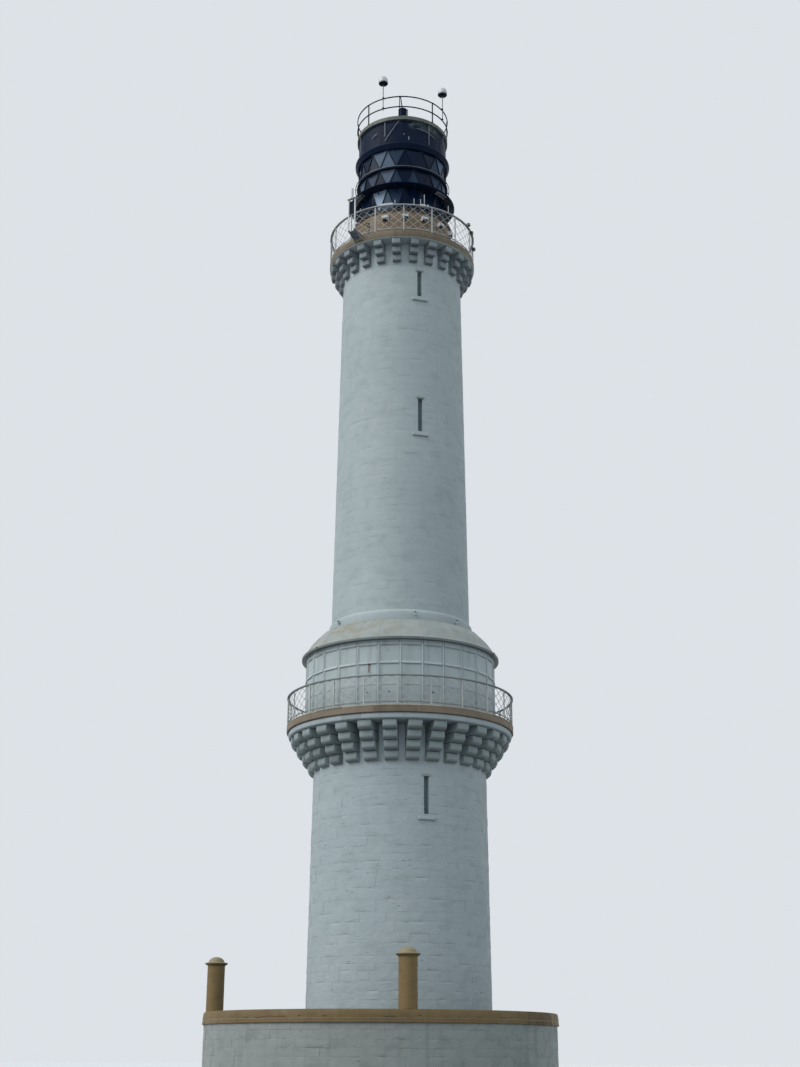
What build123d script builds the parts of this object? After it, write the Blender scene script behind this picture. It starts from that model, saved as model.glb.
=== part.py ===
# A round masonry lighthouse with two galleries, drawn in millimetres, +Z up.
# The origin is on the tower's axis at ground level, and -Y is the front.
# An azimuth of 0 looks at the front, and it grows towards +X.
from build123d import *
from math import asin, cos, radians, sin
import os

# Round building at the foot of the tower
base_centre_x = -585.0
base_wall_radius = 5700.0
base_wall_thickness = 600.0
base_wall_height = 2510.0
coping_height = 383.0
coping_overhang = 70.0
coping_batter = 45.0
roof_slab_drop = 260.0
roof_slab_thickness = 180.0
coping_edge_height = 60.0
floor_thickness = 120.0
base_door_azimuth = 180.0
base_door_width = 1000.0
base_door_height = 2050.0
door_frame_width = 90.0
door_frame_depth = 140.0
door_leaf_thickness = 60.0
door_leaf_setback = 50.0
door_reveal = 120.0
door_clearance = 0.3

# Chimneys on the wall of that building
chimney_azimuths = (9.0, 269.0)
chimney_radius = 285.0
chimney_setback = 5.0
chimney_height = 1480.0
chimney_rim_radius = 372.0
chimney_rim_height = 95.0
chimney_flare_height = 60.0
chimney_dome_radius = 300.0
chimney_dome_height = 190.0
dome_steps = 4

# Lower shaft
lower_wall_taper = 135.0
lower_bore_radius = 2100.0
lower_wall_height = 11860.0
inner_door_width = 900.0
inner_door_height = 2000.0

# Lower gallery
lower_corbel_count = 28
lower_corbel_width = 460.0
lower_corbel_tiers = 4
lower_corbel_tier_height = 302.0
lower_corbel_setback = 95.0
lower_corbel_azimuth = -5.2
lower_cornice_height = 195.0
lower_cornice_setback = 65.0
lower_deck_thickness = 205.0
lower_deck_radius = 3915.0
lower_deck_overhang = 983.0
lower_kerb_height = 55.0
lower_kerb_width = 130.0
lower_rail_height = 970.0
lower_bay_count = 22
lower_bars_per_bay = 3
lower_post_azimuth = -1.3

# Disused lantern stage on the lower gallery
stage_sides = 28
stage_radius = 3285.0
stage_wall_thickness = 90.0
stage_height = 2355.0
stage_mullion_width = 75.0
stage_mullion_depth = 45.0
stage_azimuth = 0.0
transom_level = 1560.0
transom_height = 70.0
transom_depth = 38.0
transom_clearance = 2.0
stage_roof_overhang = 158.0
stage_eave_height = 85.0
stage_flare_run = 85.0
stage_flare_rise = 70.0
stage_belly_run = 360.0
stage_belly_drop = 292.0
stage_brow_run = 650.0
stage_brow_drop = 62.0
stage_roof_rise = 814.0
stage_roof_lap = 60.0
shaft_seat_depth = 145.0
stage_roof_thickness = 110.0
collar_height = 400.0
collar_reach = 90.0
collar_splay = 70.0

# Upper shaft
upper_wall_taper = 263.0
upper_bore_radius = 1650.0
upper_wall_height = 17810.0

# Slit windows of the stair
slit_azimuth = 16.8
slit_width = 165.0
slit_heights = (1220.0, 1260.0, 1020.0)
slit_drops = (2920.0, 7530.0, 2130.0)
slit_pane_thickness = 30.0
slit_pane_setback = 160.0
sill_width = 585.0
sill_height = 110.0
sill_drop = 190.0
sill_reach = 70.0
lintel_width = 290.0
lintel_height = 85.0
lintel_reach = 40.0
seat_depth = 60.0

# Upper gallery
upper_corbel_count = 24
upper_corbel_width = 305.0
upper_corbel_tiers = 3
upper_corbel_tier_height = 257.0
upper_corbel_setback = 55.0
upper_corbel_azimuth = -4.7
upper_post_azimuth = 1.2
lantern_floor_thickness = 200.0
upper_deck_thickness = 300.0
upper_deck_radius = 2775.0
upper_deck_overhang = 557.0
upper_rail_height = 1085.0
upper_bay_count = 16
upper_bars_per_bay = 3

# Noses of the corbels, as a share of their step, and their tails in the wall
corbel_nose_share = 0.62
corbel_tail = 80.0

# How far a cut runs past the piece that it opens
cut_reach = 200.0

# Railings of both galleries
rail_width = 84.0
rail_depth = 34.0
rail_overhang = 20.0
rail_corners_per_bay = 3
foot_rail_level = 70.0
foot_rail_depth = 26.0
post_width = 42.0
post_depth = 32.0
post_setback = 8.0
lattice_bar_width = 34.0
lattice_bar_thickness = 8.0
lattice_layer_gap = 7.5
lattice_clearance = 1.0

# Wall under the lantern
murette_radius = 1885.0
murette_thickness = 250.0
murette_height = 1330.0
murette_door_azimuth = -53.0
murette_door_width = 620.0
murette_door_height = 1130.0
murette_door_thickness = 50.0
murette_door_clearance = 4.0
vent_count = 16
vent_azimuth = 3.4
vent_width = 240.0
vent_height = 185.0
vent_reach = 150.0
vent_root = 40.0
vent_level = 1040.0
vent_door_gap = 15.0

# Lantern
lantern_setback = 145.0
lantern_divisions = 16
lantern_azimuth = 3.3
lattice_depth = 60.0
astragal_width = 50.0
pane_thickness = 12.0
pane_inset = 6.0
sill_ring_height = 100.0
sill_ring_reach = 40.0
ring_lip = 30.0
band_root_reach = 25.0
band_splay_share = 0.7
low_tier_height = 1000.0
lower_band_height = 80.0
lower_band_reach = 300.0
middle_tier_height = 780.0
middle_ring_height = 80.0
middle_ring_reach = 45.0
top_tier_height = 790.0
upper_band_height = 240.0
upper_band_reach = 110.0
frieze_height = 1030.0
frieze_setback = 30.0
frieze_thickness = 60.0
gutter_height = 180.0
gutter_reach = 40.0
gutter_width = 190.0
gutter_wall = 45.0
roof_gutter_gap = 20.0
roof_rise = 1290.0
roof_thickness = 70.0
ventilator_radius = 172.0
ventilator_height = 350.0
vane_height = 640.0
vane_radius = 16.0
vane_tilt = 9.0
handrail_reach = 110.0
handrail_section = 26.0

# Rails and aerials on the lantern roof
roof_rail_reach = 50.0
roof_rail_heights = (420.0, 880.0)
roof_rail_section = 34.0
roof_post_count = 8
roof_rail_corners_per_bay = 6
roof_post_azimuth = 41.3
aerial_azimuths = (-24.4, 58.8)
aerial_pole_radius = 18.0
aerial_dome_radius = 182.0
aerial_dome_height = 330.0
aerial_wall_share = 0.35
aerial_top = 1850.0
aerial_pole_foot = 290.0
aerial_clamp_gap = 12.0
aerial_clamp_width = 60.0

# Instrument frame on an outrigger of the upper gallery
instrument_azimuth = -35.2
instrument_reach = 465.0
instrument_spacing = 285.0
instrument_height = 1250.0
instrument_post = 34.0
instrument_seat_rise = 90.0
instrument_tube_height = 420.0
instrument_bracket_depth = 70.0
instrument_bracket_margin = 40.0
instrument_post_tail = 60.0
instrument_cap_reach = 30.0
instrument_cap_depth = 60.0
instrument_cap_height = 35.0
instrument_panel_foot = 250.0
instrument_panel_head = 40.0
instrument_panel_thickness = 12.0

os.makedirs("parts", exist_ok=True)
sides = ("front", "right", "back", "left")
seam_azimuth = slit_azimuth - 45.0


def polar(radius, azimuth, z=0.0):
    """A point at a radius and azimuth, seen from above."""
    a = radians(azimuth)
    return Vector(radius * sin(a), -radius * cos(a), z)


def turned(shape, azimuth):
    """The shape, made at azimuth 0, turned to its azimuth."""
    return Rot(0, 0, azimuth) * shape


def outline(points):
    """A closed face on the plane of a radius and the height, at azimuth 0."""
    return make_face(Polyline(*[(0, -r, z) for r, z in points], close=True))


def ring(points, start=0.0, sweep=360.0):
    """A ring, or an arc of one, revolved from an outline of radii and heights."""
    return Rot(0, 0, start) * revolve(outline(points), Axis.Z, sweep)


def band(inner, outer, bottom, top, start=0.0, sweep=360.0):
    """A plain ring of rectangular section."""
    points = [(inner, bottom), (outer, bottom), (outer, top), (inner, top)]
    return ring(points, start, sweep)


def polygon_ring(inner, outer, bottom, top, count, azimuth=0.0):
    """A ring with flat sides and a corner at its azimuth."""
    plate = RegularPolygon(outer, count) - RegularPolygon(inner, count)
    return Pos(0, 0, bottom) * Rot(0, 0, azimuth - 90.0) * extrude(plate, top - bottom)


def block(width, inner, outer, bottom, top, azimuth=0.0):
    """A straight block that points outward between two radii."""
    depth = outer - inner
    box = Pos(0, -(inner + outer) / 2, (bottom + top) / 2) * Box(width, depth, top - bottom)
    return turned(box, azimuth)


def save(name, shapes):
    """Write one node, as one solid or as several that do not touch."""
    solids = [s for shape in (shapes if isinstance(shapes, list) else [shapes]) for s in shape.solids()]
    export_step(solids[0] if len(solids) == 1 else Compound(solids), "parts/" + name + ".step")


# Levels, from the ground up
coping_bottom = base_wall_height
coping_top = coping_bottom + coping_height
cornice_bottom = lower_wall_height
lower_deck_bottom = cornice_bottom + lower_cornice_height
lower_deck_top = lower_deck_bottom + lower_deck_thickness
eave_level = lower_deck_top + stage_height
upper_deck_bottom = lower_deck_top + upper_wall_height
upper_deck_top = upper_deck_bottom + upper_deck_thickness
murette_top = upper_deck_top + murette_height
low_tier_bottom = murette_top + sill_ring_height
lower_band_bottom = low_tier_bottom + low_tier_height
middle_tier_bottom = lower_band_bottom + lower_band_height
middle_ring_bottom = middle_tier_bottom + middle_tier_height
top_tier_bottom = middle_ring_bottom + middle_ring_height
upper_band_bottom = top_tier_bottom + top_tier_height
frieze_bottom = upper_band_bottom + upper_band_height
gutter_bottom = frieze_bottom + frieze_height
gutter_top = gutter_bottom + gutter_height

# Radii that follow from others
lower_head_radius = lower_deck_radius - lower_deck_overhang
lower_foot_radius = lower_head_radius + lower_wall_taper
upper_head_radius = upper_deck_radius - upper_deck_overhang
upper_foot_radius = upper_head_radius + upper_wall_taper
lantern_radius = murette_radius - lantern_setback
lower_cornice_radius = lower_deck_radius - lower_cornice_setback
slit_levels = (
    cornice_bottom - slit_drops[0],
    upper_deck_bottom - slit_drops[1],
    upper_deck_bottom - slit_drops[2],
)


def lower_radius(z):
    """Outer radius of the tapering lower shaft."""
    return lower_foot_radius + (lower_head_radius - lower_foot_radius) * z / lower_wall_height


def upper_radius(z):
    """Outer radius of the tapering upper shaft."""
    share = (z - lower_deck_top) / upper_wall_height
    return upper_foot_radius + (upper_head_radius - upper_foot_radius) * share


def slit_radius(z):
    """Outer radius of the wall that a slit window is cut through."""
    return lower_radius(z) if z < cornice_bottom else upper_radius(z)


def lower_shaft():
    """The lower shaft as a full solid, for cutting."""
    rise = (Align.CENTER, Align.CENTER, Align.MIN)
    return Cone(lower_foot_radius, lower_head_radius, lower_wall_height, align=rise)


def upper_shaft():
    """The upper shaft as a full solid, for cutting."""
    rise = (Align.CENTER, Align.CENTER, Align.MIN)
    cone = Cone(upper_foot_radius, upper_head_radius, upper_wall_height, align=rise)
    return Pos(0, 0, lower_deck_top) * cone


def dome_outline(radius, foot, height):
    """Radii and heights of a low dome, from its edge to its crown."""
    points = []
    for step in range(dome_steps + 1):
        angle = radians(90.0 * step / dome_steps)
        points.append((radius * cos(angle) if step < dome_steps else 0.0, foot + height * sin(angle)))
    return points


def base_building():
    """The round single-storey building with its coping, roof, floor and door."""
    place = Pos(base_centre_x, 0, 0)
    bore = base_wall_radius - base_wall_thickness
    past = base_wall_radius + cut_reach
    opening = block(base_door_width, bore - cut_reach, past, 0, base_door_height, base_door_azimuth)
    for name, start in zip(sides, (-45.0, 45.0, 135.0, 225.0)):
        wall = band(bore, base_wall_radius, 0, base_wall_height, start, 90.0)
        save("base_wall_" + name, place * (wall - opening if name == "back" else wall))
    rim = base_wall_radius + coping_overhang
    edge = coping_bottom + coping_edge_height
    coping = [(bore, coping_bottom), (rim, coping_bottom), (rim, edge), (rim - coping_batter, coping_top)]
    coping += [(bore - coping_overhang, coping_top), (bore - coping_overhang, edge), (bore, edge)]
    save("base_coping", place * ring(coping))
    slab_top = coping_bottom - roof_slab_drop
    shaft = lower_shaft()
    slab = Pos(0, 0, slab_top - roof_slab_thickness) * extrude(Circle(bore), roof_slab_thickness)
    save("base_roof", place * slab - shaft)
    floor = place * extrude(Circle(bore), floor_thickness) - shaft
    save("ground_floors", [floor, extrude(Circle(lower_bore_radius), floor_thickness)])


def base_door():
    """The plank door and its frame in the back wall."""
    place = Pos(base_centre_x, 0, 0)
    face = base_wall_radius * cos(asin(base_door_width / 2 / base_wall_radius)) - door_reveal
    width = base_door_width
    height = base_door_height
    clear = width - 2 * door_frame_width
    head = height - door_frame_width
    frame = block(width, face - door_frame_depth, face, 0, height)
    gap = block(clear, face - door_frame_depth - cut_reach, face + cut_reach, -cut_reach, head)
    save("base_door_frame", place * turned(frame - gap, base_door_azimuth))
    outer = face - door_leaf_setback
    inner = outer - door_leaf_thickness
    leaf = block(clear - 2 * door_clearance, inner, outer, door_clearance, head - door_clearance)
    save("base_door", place * turned(leaf, base_door_azimuth))


def chimneys():
    """Two round chimneys on the parapet, each under a flared rim and a low dome."""
    edge = base_wall_radius + coping_overhang - coping_batter
    distance = edge - chimney_radius - chimney_setback
    shafts = []
    caps = []
    shaft_top = coping_top + chimney_height
    for azimuth in chimney_azimuths:
        centre = polar(distance, azimuth)
        place = Pos(base_centre_x + centre.X, centre.Y, 0)
        shaft = Pos(0, 0, coping_top) * extrude(Circle(chimney_radius), chimney_height)
        shafts.append(place * shaft)
        rim_bottom = shaft_top + chimney_flare_height
        rim_top = shaft_top + chimney_rim_height
        cap = [(0, shaft_top), (chimney_radius, shaft_top), (chimney_rim_radius, rim_bottom)]
        cap += [(chimney_rim_radius, rim_top)]
        cap += dome_outline(chimney_dome_radius, rim_top, chimney_dome_height)
        caps.append(place * ring(cap))
    save("chimney_shafts", shafts)
    save("chimney_caps", caps)


def slit_cut(level, height):
    """The space that one slit window takes out of the wall."""
    past = slit_radius(level) + cut_reach
    within = upper_bore_radius - cut_reach
    return block(slit_width, within, past, level, level + height, slit_azimuth)


def tower_walls():
    """Both shafts, each in four quarters, with the slits and the inner doorway cut through."""
    cuts = [slit_cut(level, height) for level, height in zip(slit_levels, slit_heights)]
    past = lower_foot_radius + cut_reach
    head = floor_thickness + inner_door_height
    within = lower_bore_radius - cut_reach
    doorway = block(inner_door_width, within, past, floor_thickness, head, base_door_azimuth)
    lower = [(lower_bore_radius, 0), (lower_foot_radius, 0)]
    lower += [(lower_head_radius, lower_wall_height), (lower_bore_radius, lower_wall_height)]
    upper = [(upper_bore_radius, lower_deck_top), (upper_foot_radius, lower_deck_top)]
    upper += [(upper_head_radius, upper_deck_bottom), (upper_bore_radius, upper_deck_bottom)]
    for index, name in enumerate(sides):
        start = seam_azimuth + 90.0 * index
        low = ring(lower, start, 90.0)
        high = ring(upper, start, 90.0)
        if name == "front":
            low = low - cuts[0]
            high = high - cuts[1] - cuts[2]
        if name == "back":
            low = low - doorway
        save("lower_wall_" + name, low)
        save("upper_wall_" + name, high)


def slit_windows():
    """Panes, sills and lintels of the three slit windows."""
    panes = []
    sills = []
    lintels = []
    for level, height in zip(slit_levels, slit_heights):
        radius = slit_radius(level)
        face = radius * cos(asin(slit_width / 2 / radius)) - slit_pane_setback
        top = level + height
        panes.append(block(slit_width, face - slit_pane_thickness, face, level, top, slit_azimuth))
        foot = level - sill_drop
        wall = slit_radius(foot)
        sills.append(seated_block(sill_width, wall, sill_reach, foot, foot + sill_height))
        wall = slit_radius(top)
        lintels.append(seated_block(lintel_width, wall, lintel_reach, top, top + lintel_height))
    save("slit_window_panes", panes)
    save("slit_window_sills", sills)
    save("slit_window_lintels", lintels)


def seated_block(width, wall, reach, bottom, top):
    """A block whose back is cut to the wall that it sits on."""
    piece = block(width, wall - seat_depth, wall + reach, bottom, top)
    solid = lower_shaft() if bottom < cornice_bottom else upper_shaft()
    return turned(piece, slit_azimuth) - solid


def corbels(count, first, width, tiers, tier_height, outer, top, wall_at):
    """A table of corbels: each column steps out tier by tier, with a rounded nose on each block."""
    bottom = top - tiers * tier_height
    wall = wall_at(bottom)
    step = (outer - wall) / tiers
    nose = min(step, tier_height) * corbel_nose_share
    lift = nose * (1 - cos(radians(45)))
    tail = -(wall - corbel_tail)
    edges = [Line((0, tail, top), (0, tail, bottom))]
    for tier in range(tiers):
        z = bottom + tier * tier_height
        r = wall + (tier + 1) * step
        edges.append(Line(edges[-1] @ 1, (0, -(r - nose), z)))
        arc = ThreePointArc(edges[-1] @ 1, (0, -(r - lift), z + lift), (0, -r, z + nose))
        edges.append(arc)
        edges.append(Line(arc @ 1, (0, -r, z + tier_height)))
    edges.append(Line(edges[-1] @ 1, edges[0] @ 0))
    column = Pos(-width / 2, 0, 0) * extrude(make_face(edges), width, dir=(1, 0, 0))
    cone = Solid.make_cone(wall, wall_at(top), top - bottom, Plane((0, 0, bottom)))
    column = column - cone
    return [turned(column, first + 360.0 * k / count) for k in range(count)]


def leaning_bar(width, lean, distance, depth, bottom, top, azimuth):
    """A flat bar that leans sideways by a distance between two levels."""
    w = width / 2
    x = lean / 2
    points = [(-x - w, bottom), (-x + w, bottom), (x + w, top), (x - w, top)]
    face = make_face(Polyline(*[(px, -distance, pz) for px, pz in points], close=True))
    return turned(extrude(face, depth, dir=(0, 1, 0)), azimuth)


def railing(name, deck, height, outer, bays, bars_per_bay, first):
    """Posts, two rails and a lattice of flat bars in two layers that cross."""
    top = deck + height
    rail_bottom = top - rail_depth
    post_outer = outer - rail_overhang
    post_inner = post_outer - post_depth
    turn = 360.0 / bays
    azimuths = [first + turn * k for k in range(bays)]
    posts = [block(post_width, post_inner, post_outer, deck, rail_bottom, azimuth) for azimuth in azimuths]
    save(name + "_posts", posts)
    corners = rail_corners_per_bay * bays
    top_rail = polygon_ring(outer - rail_width, outer, rail_bottom, top, corners, first)
    foot_top = deck + foot_rail_level + foot_rail_depth
    foot = polygon_ring(outer - rail_width, post_inner, deck + foot_rail_level, foot_top, corners, first)
    save(name + "_rails", [top_rail, foot])
    lattice_radius = post_inner - lattice_clearance
    run = 2 * lattice_radius * sin(radians(turn / 2))
    half_turn = asin((run + lattice_bar_width) / 2 / lattice_radius)
    count = bays * bars_per_bay
    bars = []
    for layer, lean in ((0, run), (1, -run)):
        distance = lattice_radius * cos(half_turn) - layer * (lattice_bar_thickness + lattice_layer_gap)
        for k in range(count):
            azimuth = first + 360.0 * k / count
            thickness = lattice_bar_thickness
            width = lattice_bar_width
            bars.append(leaning_bar(width, lean, distance, thickness, foot_top, rail_bottom, azimuth))
    save(name + "_lattice", bars)


def lower_gallery():
    """Corbels, cornice, deck and kerb of the lower gallery."""
    count = lower_corbel_count
    tiers = lower_corbel_tiers
    height = lower_corbel_tier_height
    reach = lower_cornice_radius - lower_corbel_setback
    width = lower_corbel_width
    table = corbels(count, lower_corbel_azimuth, width, tiers, height, reach, cornice_bottom, lower_radius)
    save("lower_corbels", table)
    save("lower_cornice", band(lower_bore_radius, lower_cornice_radius, cornice_bottom, lower_deck_bottom))
    save("lower_deck", band(upper_bore_radius, lower_deck_radius, lower_deck_bottom, lower_deck_top))
    kerb_top = lower_deck_top + lower_kerb_height
    kerb_inner = lower_deck_radius - lower_kerb_width
    save("lower_kerb", band(kerb_inner, lower_deck_radius, lower_deck_top, kerb_top))
    outer = lower_deck_radius + rail_overhang - post_setback
    bars = lower_bars_per_bay
    railing("lower_railing", kerb_top, lower_rail_height, outer, lower_bay_count, bars, lower_post_azimuth)


def lower_stage():
    """The old lantern stage on the lower gallery, with its flared roof and the collar above."""
    shaft = upper_shaft()
    inner = stage_radius - stage_wall_thickness
    first = stage_azimuth
    save("stage_panels", polygon_ring(inner, stage_radius, lower_deck_top, eave_level, stage_sides, first))
    turn = 360.0 / stage_sides
    outer = stage_radius + stage_mullion_depth
    width = stage_mullion_width
    mullion = block(width, stage_radius, outer, lower_deck_top, eave_level)
    mullions = [turned(mullion, first + turn * k) for k in range(stage_sides)]
    save("stage_mullions", mullions)
    half = radians(turn / 2)
    flat = stage_radius * cos(half)
    length = 2 * (stage_radius * sin(half) - width / 2 - transom_clearance)
    level = lower_deck_top + transom_level
    transoms = []
    for k in range(stage_sides):
        middle = first + turn * (k + 0.5)
        transoms.append(block(length, flat, flat + transom_depth, level, level + transom_height, middle))
    save("stage_transoms", transoms)
    eave = stage_radius + stage_roof_overhang
    eave_top = eave_level + stage_eave_height
    roof_top = eave_top + stage_roof_rise
    wall = upper_radius(roof_top)
    reach = wall + collar_reach
    splay = collar_splay
    under = wall - shaft_seat_depth
    lap = reach - splay + stage_roof_lap
    thickness = stage_roof_thickness
    brow = (eave - stage_brow_run, roof_top - stage_brow_drop)
    belly = (eave - stage_belly_run, roof_top - stage_brow_drop - stage_belly_drop)
    roof = [(inner, eave_level), (eave, eave_level), (eave, eave_top)]
    roof += [(eave - stage_flare_run, eave_top + stage_flare_rise), belly, brow]
    roof += [(lap, roof_top), (under, roof_top), (under, roof_top - thickness), (lap, roof_top - thickness)]
    roof += [(r - thickness, z - thickness / 2) for r, z in (brow, belly)]
    save("stage_roof", ring(roof) - shaft)
    collar_top = roof_top + collar_height
    collar = [(under, roof_top), (reach - splay, roof_top), (reach, roof_top + splay)]
    collar += [(reach, collar_top - splay), (reach - splay, collar_top), (under, collar_top)]
    save("shaft_collar", ring(collar) - shaft)


def upper_gallery():
    """Corbels, deck and railing of the upper gallery, and the lantern floor."""
    count = upper_corbel_count
    tiers = upper_corbel_tiers
    height = upper_corbel_tier_height
    reach = upper_deck_radius - upper_corbel_setback
    width = upper_corbel_width
    first = upper_corbel_azimuth
    table = corbels(count, first, width, tiers, height, reach, upper_deck_bottom, upper_radius)
    save("upper_corbels", table)
    save("upper_deck", band(upper_bore_radius, upper_deck_radius, upper_deck_bottom, upper_deck_top))
    floor = extrude(Circle(upper_bore_radius), lantern_floor_thickness)
    save("lantern_floor", Pos(0, 0, upper_deck_top - lantern_floor_thickness) * floor)
    outer = upper_deck_radius + rail_overhang - post_setback
    bars = upper_bars_per_bay
    bays = upper_bay_count
    railing("upper_railing", upper_deck_top, upper_rail_height, outer, bays, bars, upper_post_azimuth)


def murette():
    """The wall under the lantern, with its low door and a ring of hooded vents."""
    bore = murette_radius - murette_thickness
    wall = band(bore, murette_radius, upper_deck_top, murette_top)
    width = murette_door_width
    door_top = upper_deck_top + murette_door_height
    past = murette_radius + cut_reach
    opening = block(width, bore - cut_reach, past, upper_deck_top, door_top, murette_door_azimuth)
    save("murette", wall - opening)
    face = murette_radius * cos(asin(width / 2 / murette_radius))
    gap = murette_door_clearance
    inner = face - murette_door_thickness
    leaf = block(width - 2 * gap, inner, face, upper_deck_top, door_top - gap, murette_door_azimuth)
    save("murette_door", leaf)
    level = upper_deck_top + vent_level
    cylinder = Pos(0, 0, upper_deck_top) * extrude(Circle(murette_radius), murette_height)
    vents = []
    for k in range(vent_count):
        azimuth = vent_azimuth + 360.0 * k / vent_count
        away = abs((azimuth - murette_door_azimuth + 180.0) % 360.0 - 180.0)
        if away < vent_door_gap:
            continue
        outer = murette_radius + vent_reach
        half = vent_height / 2
        vent = block(vent_width, murette_radius - vent_root, outer, level - half, level + half)
        vents.append(turned(vent - cylinder, azimuth))
    save("murette_vents", vents)


def astragal_tier(bottom, top, phase):
    """One tier of the lantern's lattice: leaning bars that meet in points above and below."""
    half = 180.0 / lantern_divisions
    radius = lantern_radius
    lean = 2 * radius * sin(radians(half / 2))
    distance = radius * cos(radians(half / 2))
    bars = []
    for k in range(lantern_divisions):
        for side in (1, -1):
            azimuth = phase + 2 * half * k + side * half / 2
            run = -side * lean
            bars.append(leaning_bar(astragal_width, run, distance, lattice_depth, bottom, top, azimuth))
    tier = bars[0]
    for bar in bars[1:]:
        tier = tier + bar
    return tier


def pane(corners):
    """A flat triangular pane, drawn in a little from its corners, with its thickness inward."""
    a, b, c = corners
    la = (b - c).length
    lb = (c - a).length
    lc = (a - b).length
    middle = (a * la + b * lb + c * lc) / (la + lb + lc)
    inner_radius = (b - a).cross(c - a).length / (la + lb + lc)
    share = 1 - pane_inset / inner_radius
    points = [middle + (p - middle) * share for p in corners]
    normal = (b - a).cross(c - a).normalized()
    inward = Vector(-middle.X, -middle.Y, 0)
    if normal.dot(inward) < 0:
        normal = normal * -1
    face = make_face(Polyline(*points, close=True))
    return extrude(face, pane_thickness, dir=normal)


def pane_tier(bottom, top, phase):
    """The panes of one tier, pointing up and down by turns."""
    half = 180.0 / lantern_divisions
    flat = lantern_radius * cos(radians(half / 2)) - lattice_depth
    radius = flat / cos(radians(half / 2))
    panes = []
    for k in range(lantern_divisions):
        azimuth = phase + 2 * half * k
        apex = polar(radius, azimuth, top)
        foot = polar(radius, azimuth + half, bottom)
        panes.append(pane([apex, polar(radius, azimuth - half, bottom), foot]))
        panes.append(pane([foot, apex, polar(radius, azimuth + 2 * half, top)]))
    return panes


def lantern():
    """Sill, three tiers of triangular panes, their rings, the frieze, the gutter and the handrail."""
    bore = lantern_radius - lattice_depth
    step = 360.0 / lantern_divisions / 2
    sill = murette_radius + sill_ring_reach
    save("lantern_sill", band(bore - ring_lip, sill, murette_top, low_tier_bottom))
    tiers = [(low_tier_bottom, lower_band_bottom), (middle_tier_bottom, middle_ring_bottom)]
    tiers.append((top_tier_bottom, upper_band_bottom))
    bars = []
    panes = []
    for index, (bottom, top) in enumerate(tiers):
        phase = lantern_azimuth + step * (index % 2)
        bars.append(astragal_tier(bottom, top, phase))
        panes += pane_tier(bottom, top, phase)
    save("lantern_astragals", bars)
    save("lantern_panes", panes)
    lower = flared_band(lower_band_bottom, lower_band_height, lower_band_reach)
    upper = flared_band(upper_band_bottom, upper_band_height, upper_band_reach)
    middle_outer = lantern_radius + middle_ring_reach
    sides = 4 * lantern_divisions
    middle = polygon_ring(bore - ring_lip, middle_outer, middle_ring_bottom, top_tier_bottom, sides)
    save("lantern_bands", [lower, middle, upper])
    face = lantern_radius - frieze_setback
    save("lantern_frieze", band(face - frieze_thickness, face, frieze_bottom, gutter_bottom))
    rim = lantern_radius + gutter_reach
    inner = rim - gutter_width
    gutter = [(inner, gutter_bottom), (rim, gutter_bottom)]
    gutter += [(rim, gutter_top), (rim - gutter_wall, gutter_top)]
    gutter += [(rim - gutter_wall, gutter_bottom + gutter_wall), (inner, gutter_bottom + gutter_wall)]
    save("lantern_gutter", ring(gutter))
    outer = lantern_radius + handrail_reach
    section = handrail_section
    level = middle_ring_bottom + (middle_ring_height - section) / 2
    rail = polygon_ring(outer - section, outer, level, level + section, 4 * lantern_divisions)
    for k in range(lantern_divisions):
        azimuth = lantern_azimuth + 360.0 * k / lantern_divisions
        arm = block(section, middle_outer - ring_lip, outer - section / 2, level, level + section, azimuth)
        rail = rail + (arm - middle)
    save("lantern_handrail", rail)


def flared_band(bottom, height, reach):
    """A dark ledge round the lantern, splayed on its underside."""
    bore = lantern_radius - lattice_depth - ring_lip
    root = lantern_radius + band_root_reach
    outer = lantern_radius + reach
    splay = height * band_splay_share
    points = [(bore, bottom), (root, bottom), (outer, bottom + splay)]
    points += [(outer, bottom + height), (bore, bottom + height)]
    return ring(points)


def lantern_roof():
    """The roof, its ventilator and the leaning rod on it."""
    foot_radius = lantern_radius + gutter_reach - gutter_wall - roof_gutter_gap
    foot = gutter_bottom + gutter_wall
    peak = foot + roof_rise
    drop = roof_thickness
    roof = [(foot_radius - 2 * drop, foot), (foot_radius, foot), (ventilator_radius, peak)]
    roof += [(0, peak), (0, peak - drop), (ventilator_radius, peak - drop)]
    save("lantern_roof", ring(roof))
    drum = Pos(0, 0, peak) * extrude(Circle(ventilator_radius), ventilator_height)
    save("roof_ventilator", drum)
    rod = extrude(Circle(vane_radius), vane_height)
    save("leaning_rod", Pos(0, 0, peak + ventilator_height) * Rot(0, -vane_tilt, 0) * rod - drum)


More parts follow.
